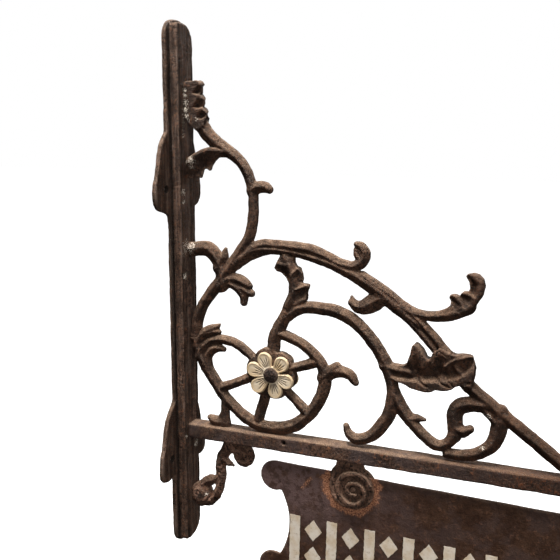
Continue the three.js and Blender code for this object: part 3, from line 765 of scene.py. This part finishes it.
def ridged(half, X, Z, lines):
    """A half thickness with a ridge along each line, or a groove where its height is below zero."""
    for line, width, high in lines:
        half = half + high * bump(line_distance(line, X, Z)[0], width)
    return half


def top_leaf(X, Z):
    scoops = ([(25.5, 488), (29, 492), (32, 495), (38, 497), (38, 488.4), (30, 486.8)],
              [(25.5, 474.2), (29.5, 478.8), (33, 481.8), (40, 482.4), (40, 475), (31, 472.6)],
              [(29.5, 463.5), (31, 467.5), (34.5, 469.6), (40, 468.6), (39, 464), (34, 462)])
    half = 6.4 + 0 * X
    for scoop in scoops:
        half = half - 4.2 * inside(scoop, X, Z, 2.0)
    return half - 0.8 * ease(X, 30, 40)


def folded_leaf(X, Z):
    """A leaf folded along its midrib: both halves stand out from the fold, and the upper one is scooped."""
    rib = [(234, 220), (252, 218.5), (270, 219), (284, 220.5), (298, 224), (309, 231), (318, 241)]
    d, _ = line_distance(rib, X, Z)
    upper = Z > np.interp(X, [p[0] for p in rib], [p[1] for p in rib])
    half = np.where(upper, 1.0 + 0.34 * d, 1.6 + 5.0 * ease(d, 0, 6.5))
    half = ridged(half, X, Z, (
        ([(262, 224), (262.5, 247)], 3.0, -1.6), ([(284, 224), (286, 240)], 3.0, -1.6),
        ([(263, 218), (267, 213.5), (274, 210)], 1.1, -1.8),
        ([(281, 220), (288, 214), (295, 212)], 1.1, -1.8),
        ([(295, 217), (299, 213)], 1.0, -1.4), ([(270, 228), (273, 236)], 3.0, 2.2),
        ([(291, 232), (296.6, 237), (302, 239.8), (309, 242.3), (316, 244.6)], 1.6, 2.8),
        ([(278, 230), (280, 241)], 1.4, 1.6), ([(258, 226), (257, 238)], 1.6, 1.2),
        ([(264.5, 224), (265.5, 240)], 0.8, 0.7), ([(287, 226), (288, 238)], 0.8, 0.7),
    ))
    return np.clip(half, 1.0, 7.2)


def centre_leaf(X, Z):
    half = ridged(3.6 + 0 * X, X, Z, (
        ([(128, 276), (134.5, 290), (135, 303), (131, 314), (127, 324)], 3.4, 2.6),
        ([(133, 308), (140, 316)], 1.8, 2.2), ([(139, 294.5), (151, 300)], 1.6, 2.6),
        ([(118, 319), (129, 318)], 2.2, 1.8), ([(136, 279), (150, 286)], 1.5, 1.2),
        ([(143, 303), (144, 309)], 2.6, -1.9), ([(142, 289), (149, 293)], 3.0, -2.2),
        ([(120, 312), (130, 307)], 2.6, -2.2),
    ))
    return np.clip(half, 1.2, 7.0)


def hook_leaf(X, Z):
    half = ridged(3.4 + 0 * X, X, Z, (
        ([(288, 281), (302, 285), (313, 292), (320, 304), (320, 314), (314, 320)], 3.4, 2.8),
        ([(297, 300), (303, 294), (306, 288)], 1.8, 2.0), ([(305, 304), (312, 302), (316, 298)], 1.8, 2.2),
        ([(294, 297), (299, 291)], 1.8, -1.6), ([(304, 300), (308, 296)], 1.8, -1.8),
        ([(313, 305), (313, 314), (309, 319)], 2.2, -2.0),
    ))
    return np.clip(half, 1.2, 6.8)


def branch_leaf(X, Z):
    d, _ = line_distance([(13, 415), (28, 426), (40, 431), (54, 431)], X, Z)
    half = ridged(1.2 + np.maximum(5.4 - 0.42 * d, 0), X, Z, (
        ([(34, 411), (37, 420)], 1.5, -1.4), ([(43, 410), (44, 419)], 1.5, -1.4),
        ([(22, 404), (28, 417)], 1.4, 0.9),
    ))
    return np.clip(half, 0.9, 6.6)


LEAVES = [
    ("upper", [(14.6, 496), (18, 500.3), (24, 500), (29, 500.8), (32, 499.6), (33.8, 497), (34.3, 493),
               (33.8, 489), (32.6, 486.8), (34.6, 484.4), (36, 481), (36.4, 477.5), (35.2, 474.3), (37, 472),
               (38.8, 468.6), (39, 464.6), (38, 460), (37, 455), (29, 450), (22, 457),
               (14.6, 466)], top_leaf),
    ("arm", [(238, 226), (243, 227), (249, 227.5), (253, 230.5), (255, 235.5), (257, 242), (258.5, 248.5),
             (260, 250.5), (263, 249.5), (267, 245.5), (270, 241), (272, 238), (274, 237), (277, 238.5),
             (278, 243), (285, 249), (299, 243.5), (305, 244.8), (312, 244.5), (316, 243.5), (317.5, 239),
             (318.5, 231), (318, 224), (316, 214), (306, 214.5), (301, 213), (298, 210), (293, 208.3),
             (288, 207.4), (282, 207.3), (279, 205.6), (275, 204.3), (269, 204.3), (263, 205.6),
             (257, 207.2), (253, 208.6), (249, 210), (244, 211.5), (238, 214)], folded_leaf),
    ("arm", [(120, 327), (115, 318), (113.5, 314.5), (116, 311), (121, 309.3), (126.5, 304.5), (130, 300),
             (130.5, 291), (128.5, 283), (125, 275), (131, 270), (140, 277), (148, 283), (149, 290),
             (151, 296.5), (150.5, 299), (148, 300.3), (144, 301), (145, 305), (144, 310.5), (141, 315),
             (137, 317.5), (135, 321.5), (135, 327)], centre_leaf),
    ("upper", [(286, 285), (290, 288), (293, 291), (293.5, 294.5), (291.5, 298), (292, 300.3), (295, 301.5),
               (299, 300.8), (301.5, 299.8), (302.3, 302.5), (304, 304.3), (309.5, 305), (310.5, 308),
               (310, 313.5), (307.5, 317.5), (306.3, 320), (308, 321.6), (313, 322.5), (318, 321.5),
               (322.5, 318), (324.5, 311.5), (322.5, 302.5), (317.5, 293.5), (310.5, 285.5), (302, 280.5),
               (291, 276)], hook_leaf),
    ("upper", [(14.6, 418), (18, 423), (25, 427.5), (33, 431.5), (41, 434), (51, 433.5), (58, 430),
               (51, 423.5), (47, 419.5), (44.5, 414.5), (43.5, 410.5), (41, 409.8), (37.5, 412), (35, 411.5),
               (33.5, 408), (32.5, 403), (30.5, 402), (27, 403.5), (21, 401.5), (14.6, 402)], branch_leaf),
]


def casting_field():
    field = Field((13, -8.0, 112), (440, 8.0, 508), 0.75)
    near = {}
    for group, strokes in SCROLLS.items():
        flat = np.full((len(field.x), len(field.z)), FAR)
        for rows in strokes:
            d, xs, zs = field.stroke([[x, z, width + SWELL] for x, z, width in rows])
            flat[xs, zs] = np.minimum(flat[xs, zs], d)
        near[group] = flat
    for group, outline, relief in LEAVES:
        d, xs, zs = field.leaf(outline, relief)
        near[group][xs, zs] = np.minimum(near[group][xs, zs], d)
    # what meets the rail is cut flat just under its face, and what meets the bar is cut at its top
    past_rail = MEMBERS_START - field.x[:, None, None]
    field.keep(past_rail)
    on_bar = np.maximum(np.maximum(past_rail, field.off - 10.2), field.z[None, None, :] - BAR_TOP)
    field.keep(-on_bar)
    field.lumps(7.0, 0.28, 3)
    field.lumps(3.4, 0.26, 4)
    return field, near


def scrollwork():
    """One casting, cut into groups along the lines where the nearest member changes."""
    field, near = casting_field()
    for group, nodes in NODES.items():
        others = np.minimum.reduce([flat for other, flat in near.items() if other != group])
        cast_piece(field, "scrollwork_" + group, IRON, "scrollwork", *nodes, cut=(near[group] - others) / 2)


# ---------------------------------------------------------------- rosette
PETALS = ((48, 16.7), (116, 17.0), (169, 20.0), (221, 20.0), (284, 17.3), (342, 17.2))  # angle and reach
PETAL_ROOT, PETAL_WIDER, PETAL_TIP = 3.7, 4.5, 8.2  # half widths: at the root, gained on the way, of the tip
MIDDLE = 9.5  # radius of the flower's middle
SEAT = 6.5  # a flower's back, from the arm plane
SHEET = 0.4  # thickness of a flower under its relief


def petal_frame(X, Z, angle):
    """Distances along and across one petal."""
    a = math.radians(angle)
    u, v = X - HUB[0], Z - HUB[1]
    return u * math.cos(a) + v * math.sin(a), -u * math.sin(a) + v * math.cos(a)


def rosette_hub():
    field = Field((80, -8, 172), (142, 8, 234), 0.6)
    X, Z = field.arm_plane()
    angle = np.arctan2(Z - HUB[1], X - HUB[0])
    swell = np.abs(np.cos((angle - math.radians(PETALS[0][0])) * 3)) ** 0.5
    d = np.hypot(X - HUB[0] + 2.6, Z - HUB[1]) - (23.8 + 3.8 * swell)
    field.fill(d, (6.2 - 1.2 * ease(d, -7, 0))[:, None, :], 1.6)
    field.lumps(4.0, 0.2, 8)
    cast_piece(field, "rosette_hub_cast", IRON, "scrollwork", "rosette_hub")


def petal_veins(along, across):
    """Fine lines fanning out over a petal from its root."""
    lines = 0.0
    for tilt, reach in ((-0.38, 17.5), (-0.19, 22), (0, 20), (0.19, 23), (0.38, 17)):
        line = across - tilt * (along - 3.0)
        lines = lines + bump(line, 0.42) * ease(along, 8.5, 10) * (1 - ease(along, reach - 5, reach))
    return lines


def petal_height(X, Z):
    """How far the flower stands out from its seat: cupped petals with fine veins, low between them."""
    high = np.full(X.shape, 0.3)
    edge = np.full(X.shape, FAR)
    for angle, reach in PETALS:
        along, across = petal_frame(X, Z, angle)
        wide = PETAL_ROOT + PETAL_WIDER * ease(along, 4, reach)
        tip = np.hypot(np.maximum(along - reach, 0), across)
        d = np.where(along > reach, tip - PETAL_TIP, np.abs(across) - wide)
        d = np.where(along < 3, FAR, d)
        rim = 2.6 * ease(-d, -0.3, 1.2)
        cup = 0.35 * ease(-d, 0.9, 3.2) * ease(along, 4, 10) + 0.2 * ease(14 - along, 0, 8)
        own = rim - cup - 0.5 * petal_veins(along, across)
        high = np.where(d < edge, own, high)
        edge = np.minimum(edge, d)
    middle = np.hypot(X - HUB[0], Z - HUB[1]) - MIDDLE
    high = np.maximum(high, 2.2 * ease(-middle, -1.5, 1.0))
    return high, np.minimum(edge, middle)


def rosette(side, name, node):
    low_y, high_y = sorted((side * 6, side * 11))
    field = Field((84, low_y, 175), (141, high_y, 232), (0.4, 0.35, 0.4))
    high, edge = petal_height(*field.arm_plane())
    stands_out = side * field.y[None, :, None]
    f = soft_max(stands_out - (SEAT + SHEET + high)[:, None, :], edge[:, None, :], 0.7)
    field.set(np.maximum(f, SEAT - stands_out))
    piece = field.mesh(name)
    at = points_above_foot(piece)
    lines = np.zeros(len(at))
    for angle, _ in PETALS:
        along, across = petal_frame(at[:, 0], at[:, 2], angle)
        lines = np.maximum(lines, np.where(np.abs(across) < 8.5, petal_veins(along, across), 0))
    write_mark(piece.data, "vein", lines)
    finish_piece(piece, PAINTED_PETAL, "petal_paint", node)


def rivet():
    field = Field((100, -16, 192), (122, 16, 214), 0.45)
    X, Y, Z = np.meshgrid(field.x, np.abs(field.y), field.z, indexing="ij")
    r = np.hypot(X - HUB[0], Z - HUB[1])
    dome = np.hypot(r * 0.46, np.maximum(Y - 8.6, 0)) - 3.9
    pips = 0.0
    for ring, count in ((0.0, 1), (3.0, 6), (5.6, 11)):
        for k in range(count):
            a = 2 * math.pi * (k + 0.3) / count
            d = np.hypot(X - HUB[0] - ring * math.cos(a), Z - HUB[1] - ring * math.sin(a))
            pips = pips + 0.55 * bump(d, 1.0)
    heads = np.maximum(soft_max(dome, 8.9 - Y, 0.5) - pips, 8.6 - Y)
    shank = np.maximum(r - 3.0, Y - 9.5)
    field.set(np.minimum(heads, shank))
    cast_piece(field, "rosette_rivet_heads", IRON_RIVET, "rivets", "rosette_rivet")


# ---------------------------------------------------------------- post: wall plate and rail
# An ear's edge from top to bottom: distance from the middle of the plate, and height over the screw hole.
EAR_TOP = [(14, 66), (19, 62), (24, 56), (30, 50), (34.4, 44), (37.8, 35.5), (39.8, 24.5), (42.6, 15),
           (46.5, 7), (48.3, -2)]
EAR_FOOT = {
    102: [(48.3, -11), (47.4, -17), (44, -21.4), (37.5, -23.2), (30, -22), (23, -19.4), (18, -18.6),
          (14, -18.4)],
    392: [(48.2, -9), (46.4, -15), (42, -19.8), (38, -21.5), (33.5, -22.9), (28, -24.4), (23.5, -25.8),
          (20.6, -28), (19, -31), (18, -34), (14, -35)],
}
PLATE_HALF, END_HALF = 18.4, 22.4  # half widths of the plate along its length and at its ends
CROWN_FOOT, CROWN_TOP = 20, 540  # heights where the round ends begin
CROWN_POWER = 0.8  # under 1 makes a round end fuller than half an ellipse


def add_plate(field, outline):
    """Adds an outline in the wall's plane as a 4.9 mm plate with softened edges."""
    d = polygon_distance(outline, *field.wall_plane())
    out = np.abs(field.x - 2.5)[:, None, None] - 2.45
    field.set(soft_min(field.f, soft_max(d[None, :, :], out, 1.4), 1.2))


def crown(half, base, high, up):
    points = []
    for i in range(17):
        a = math.pi * i / 16
        across = math.copysign(abs(math.cos(a)) ** CROWN_POWER, math.cos(a))
        points.append((up * half * across, base + up * high * math.sin(a) ** CROWN_POWER))
    return points


def wall_plate():
    field = Field((-1.4, -49.4, -2.2), (6.6, 49.4, 562.6), 0.8)
    add_plate(field, crown(PLATE_HALF, CROWN_TOP, 19.8, 1) + crown(PLATE_HALF, CROWN_FOOT, 19.8, -1))
    add_plate(field, crown(END_HALF, CROWN_TOP, 20.8, 1) + [(-END_HALF, 430), (END_HALF, 430)])
    add_plate(field, [(END_HALF, 90), (-END_HALF, 90)] + crown(END_HALF, CROWN_FOOT, 20.6, -1))
    ears = [(hole_z, side) for hole_z in HOLE_HEIGHTS for side in (-1, 1)]
    for hole_z, side in ears:
        # the far one of the lower pair is the shortest below its hole
        below = 0.75 if side > 0 and hole_z == HOLE_HEIGHTS[0] else 1.0
        edge = EAR_TOP + EAR_FOOT[hole_z]
        add_plate(field, [(side * out, hole_z + max(up, up * below)) for out, up in edge])
    Y, Z = field.wall_plane()
    for hole_z, side in ears:
        r = np.hypot(Y - side * HOLE_OUT, Z - hole_z)
        field.set(soft_max(field.f, 3.7 - r[None, :, :], 0.5))
    field.lumps(9.0, 0.25, 21)
    field.lumps(3.0, 0.12, 22)
    # the back lies flat on the wall
    field.keep(-field.x[:, None, None])
    # painted shade along the rail, and in the screw holes
    cast_piece(field, "wall_plate_cast", IRON_POST, "wall_plate", "wall_plate",
               shaded_seams=[(5, 16.8, 4.0, 0.85)], hole_heights=HOLE_HEIGHTS)


RAIL_HALF, RAIL_FOOT, RAIL_TOP = 16, 4, 557
SWEEP_WIDE, SWEEP_HIGH = 23, 18  # the rounding of its far corners
RAIL_FRONT, GROOVE = 14.9, 12.6


def post_rail():
    field = Field((3.8, -17.8, 2), (16.6, 17.8, 559), 0.75)
    sweep = [(RAIL_HALF - SWEEP_WIDE + SWEEP_WIDE * math.cos(a),
              RAIL_TOP - SWEEP_HIGH + SWEEP_HIGH * math.sin(a)) for a in np.linspace(0, math.pi / 2, 9)]
    foot = [(across, RAIL_TOP + RAIL_FOOT - z) for across, z in reversed(sweep)]
    outline = sweep + [(-14.4, 556.5), (-RAIL_HALF, 554), (-RAIL_HALF, 7), (-14.4, 4.5)] + foot
    Y, Z = field.wall_plane()
    # the front is a little crowned, with a groove along each side, and its long edges are bevelled
    front = RAIL_FRONT - 0.5 * ease(np.abs(Y), 13.5, 16.0) - 0.6 * bump(np.abs(Y) - GROOVE, 1.1)
    x = field.x[:, None, None]
    between = np.maximum(x - front[None, :, :], 5.2 - x)
    field.set(soft_max(polygon_distance(outline, Y, Z)[None, :, :], between, 1.2))
    field.lumps(10.0, 0.30, 31)
    field.lumps(3.2, 0.15, 32)
    # painted shade along the joint with the plate and along both grooves
    cast_piece(field, "post_rail_cast", IRON_POST, "scrollwork", "post_rail",
               shaded_seams=[(5, 16, 2.2, 0.85), (RAIL_FRONT, GROOVE, 1.8, 0.55)])


# ---------------------------------------------------------------- arm bar
BAR = {"start": 14.6, "end": 530, "foot": 121.8, "half_depth": 9.95,
       "hole": (126.6, 132.2), "hole_radius": 2.5}


def arm_bar():
    field = Field((13.4, -11.4, 120.2), (531.4, 11.4, 139), (0.9, 0.8, 0.8))
    X, Z = field.arm_plane()
    d = np.maximum(np.maximum(BAR["start"] - X, X - BAR["end"]), np.maximum(BAR["foot"] - Z, Z - BAR_TOP))
    field.fill(d, BAR["half_depth"], 1.9)
    hole = np.hypot(X - BAR["hole"][0], Z - BAR["hole"][1]) - BAR["hole_radius"]
    field.set(soft_max(field.f, -hole[:, None, :], 0.8))
    field.lumps(14.0, 0.25, 41)
    field.lumps(3.0, 0.14, 42)
    cast_piece(field, "arm_bar_worn", IRON_BAR, "arm_bar", "arm_bar")


# ---------------------------------------------------------------- hangers
# The snail's winding, as angle in degrees and radius.
SNAIL = [(22, 18.6), (50, 18.2), (80, 17.4), (120, 16.8), (165, 16.4), (210, 16.6), (255, 16.8), (290, 16.2),
         (320, 14.8), (345, 13.0), (372, 10.6), (400, 8.4), (430, 7.2), (480, 6.6), (540, 6.5), (600, 6.6),
         (650, 6.2)]
NECK_TOP = 122.3  # a hair above the bar's underside


def hanger(x, side_name):
    z = HANGER_Z
    field = Field((x - 26, -11.2, z - 25), (x + 26, 11.2, 123), (0.55, 0.5, 0.55))
    X, Z = field.arm_plane()
    r = np.hypot(X - x, Z - z)
    disc = soft_min(r - 21.6, np.hypot(X - x + 3.2, Z - z - 1.0) - 22.4, 1.0)
    neck = polygon_distance([(x - 23, z + 10), (x - 24.5, z + 15), (x - 22.6, z + 19), (x - 19, z + 23.5),
                             (x - 17.8, NECK_TOP), (x + 8.5, NECK_TOP), (x + 7.8, z + 24.5),
                             (x + 9.6, z + 20.5), (x + 14, z + 15)], X, Z)
    rows = [[x + out * math.cos(math.radians(a)), z + out * math.sin(math.radians(a)), 1] for a, out in SNAIL]
    d, along = line_distance(smooth_rows(rows), X, Z)
    ridge = 3.7 * np.sqrt(np.clip(1 - (d / (3.3 - 0.9 * along)) ** 4, 0, 1)) * (1 - 0.2 * along)
    face = 5.4 + ridge - 0.8 * ease(-disc, 0.8, 3.0) * ease(22.5 - r, 0, 2)
    between = np.maximum(field.off - face[:, None, :], 1.8 - field.off)
    cheek = soft_max(soft_min(disc, neck, 2.0)[:, None, :], between, 0.8)
    eye = np.maximum(r[:, None, :] - 2.9, field.off - 6.6)
    field.set(soft_min(cheek, eye, 0.4))
    field.keep((field.z - NECK_TOP)[None, None, :])
    field.lumps(5.0, 0.25, 51)
    field.lumps(2.2, 0.14, 52)
    nodes = [f"hanger_{side_name}_{part}" for part in ("front", "back", "pin")]
    cast_piece(field, f"hanger_{side_name}_snail", IRON_HANGER, "hangers", *nodes)


# ---------------------------------------------------------------- sign plate
SIGN = {"x": 323.0, "z": 37.5, "half": 226.0, "lobe": 16.5, "lobe_z": 51.5, "waist": 10.0}
LOBE_START, LOBE_END = math.pi / 2, math.radians(297)
TILT = math.radians(1.2)
PIVOT = (203.5, 94.5)


def sign_outline():
    left = []
    lobe_x = SIGN["half"] - SIGN["lobe"]
    for i in range(19):
        a = LOBE_START + (LOBE_END - LOBE_START) * i / 18
        left.append((-lobe_x + SIGN["lobe"] * math.cos(a), SIGN["lobe_z"] + SIGN["lobe"] * math.sin(a)))
    notch_x, notch_z = left[-1]
    hollow = []
    for i in range(1, 12):
        t = 1 - 2 * i / 12
        hollow.append((notch_x + SIGN["waist"] * (1 - t * t), notch_z * t))
    left = left + hollow + [(x, -z) for x, z in reversed(left)]
    return left + [(-x, -z) for x, z in left]


def turn(x, z):
    """From the sign's own plane, measured from its middle, to where it hangs."""
    u, v = x + SIGN["x"] - PIVOT[0], z + SIGN["z"] - PIVOT[1]
    return (PIVOT[0] + u * math.cos(TILT) + v * math.sin(TILT),
            PIVOT[1] - u * math.sin(TILT) + v * math.cos(TILT))


def sign_plate():
    field = Field((95, -2.6, -37), (552, 2.6, 112), (1.3, 0.65, 1.3))
    field.fill(polygon_distance([turn(*p) for p in sign_outline()], *field.arm_plane()), 1.45, 0.6)
    field.lumps(12.0, 0.12, 61)
    finish_piece(field.mesh("sign_plate_sheet"), SIGN_PAINT, "sign_plate", "sign_plate")


BARS, BAR_STEP, FIRST_BAR = 10, 41, -185
FRIEZE_DOWN = 17  # middle of the frieze, below the sign's


def frieze_shapes():
    """Upright bars with two lozenges between each pair, cut like a stencil, each as an outline."""
    shapes = []
    for index in range(BARS):
        x = FIRST_BAR + BAR_STEP * index
        shapes.append([(x + u, v - FRIEZE_DOWN) for u, v in ((-5.6, -29), (5.6, -29), (5.6, 29), (-5.6, 29))])
        for middle in (15, -15) if index < BARS - 1 else ():
            lozenge = ((0, middle + 12), (9.5, middle), (0, middle - 12), (-9.5, middle))
            shapes.append([(x + BAR_STEP / 2 + u, v - FRIEZE_DOWN) for u, v in lozenge])
    return shapes


def frieze():
    verts, faces = [], []
    rng = np.random.default_rng(71)
    for outline in frieze_shapes():
        dense = []
        for (x0, z0), (x1, z1) in zip(outline, outline[1:] + outline[:1]):
            count = max(2, int(math.hypot(x1 - x0, z1 - z0) / 2.2))
            dense += [(x0 + (x1 - x0) * i / count, z0 + (z1 - z0) * i / count) for i in range(count)]
        wander = rng.uniform(-0.28, 0.28, (len(dense), 2))
        dense = [turn(x + dx, z + dz) for (x, z), (dx, dz) in zip(dense, wander)]
        for side in (-1, 1):
            start = len(verts)
            n = len(dense)
            for y in (1.2, 1.72):
                verts += [(x, side * y, z) for x, z in dense]
            faces.append([start + i for i in range(n)])
            faces.append([start + n + i for i in range(n)][::-1])
            for i in range(n):
                after = (i + 1) % n
                faces.append([start + i, start + n + i, start + n + after, start + after])
    mesh = bpy.data.meshes.new("sign_frieze")
    mesh.from_pydata(verts, [], faces)
    face_outwards(mesh)
    place(mesh)
    finish_piece(add_object("sign_frieze", mesh), FRIEZE_PAINT, "petal_paint")


def face_outwards(mesh):
    work = bmesh.new()
    work.from_mesh(mesh)
    bmesh.ops.recalc_face_normals(work, faces=work.faces)
    work.to_mesh(mesh)
    work.free()


# ---------------------------------------------------------------- scroll under the arm, and the arm's end
UNDER_SCROLL = (
    [[62, 121, 17], [57, 112, 13.5], [51.0, 101, 12.5], [49.2, 92, 12.8], [49.2, 80, 12], [47.9, 68, 10.8],
     [43.5, 56.5, 11], [34.5, 48, 12], [24, 45.6, 12]],
    [[47.5, 78, 8], [41.5, 74.4, 9.5], [36.0, 72.4, 12.5], [28, 66.5, 12]],
    [[52, 101, 10], [58, 96.5, 8], [64, 94, 4]],
    [[60, 118, 11], [73, 119, 11], [83, 113.5, 10], [85, 105, 9], [79.5, 98.5, 8.5], [71.5, 100, 8],
     [68.5, 106, 7], [72.5, 110, 6], [77.5, 107.5, 5.5]],
    [[64, 111, 8], [69.5, 111, 7.5]],
)
KNOB_X = 26


def under_scroll():
    field = Field((12.5, -8, 36), (98, 8, 123), 0.6)
    for rows in UNDER_SCROLL:
        field.stroke([[x, z, width * 0.98] for x, z, width in rows])
    # the curl is filled in behind its winding
    field.stroke([[75, 107, 18], [77, 106.5, 18]], depth=4.6)
    # the knob is a rough ball of coiled leaf against the rail
    X, Y, Z = np.meshgrid(field.x, field.y, field.z, indexing="ij")
    ball = np.sqrt((X - KNOB_X) ** 2 + (1.5 * Y) ** 2 + (0.92 * (Z - 56)) ** 2) - 12.6
    r, a = np.hypot(X - KNOB_X, Z - 57), np.arctan2(Z - 57, X - KNOB_X)
    coil = 0.6 * np.sin(2 * math.pi * (r / 5.6 - a / (2 * math.pi)))
    field.set(soft_min(field.f, ball + coil * ease(r, 1, 4), 1.0))
    field.keep(np.maximum(14.5 - X, Z - 122.4))
    field.lumps(4.2, 0.5, 81)
    field.lumps(2.4, 0.36, 82)
    cast_piece(field, "under_scroll_cast", IRON_RUSTY, "scrollwork",
               "under_scroll", "under_knob", "under_curl")


def arm_finial():
    field = Field((529, -7.5, 120), (564, 7.5, 164), 0.7)
    field.stroke([[526, 130, 15], [536, 130, 15], [546, 131, 13.5], [555, 137, 12], [557, 147, 10],
                  [550, 155.5, 9], [542, 153, 6]])
    field.stroke([[548, 134, 10], [547, 142, 7], [545, 146, 4]])
    field.keep((530.4 - field.x)[:, None, None])
    field.lumps(5.0, 0.2, 91)
    finish_piece(field.mesh("arm_finial_cast"), IRON, "scrollwork", "arm_finial")


scrollwork()
rosette_hub()
rosette(-1, "rosette_front_petals", "rosette_front")
rosette(1, "rosette_back_petals", "rosette_back")
rivet()
wall_plate()
post_rail()
arm_bar()
for hanger_x, side_name in zip(HANGER_XS, ("left", "right")):
    hanger(hanger_x, side_name)
sign_plate()
frieze()
under_scroll()
arm_finial()
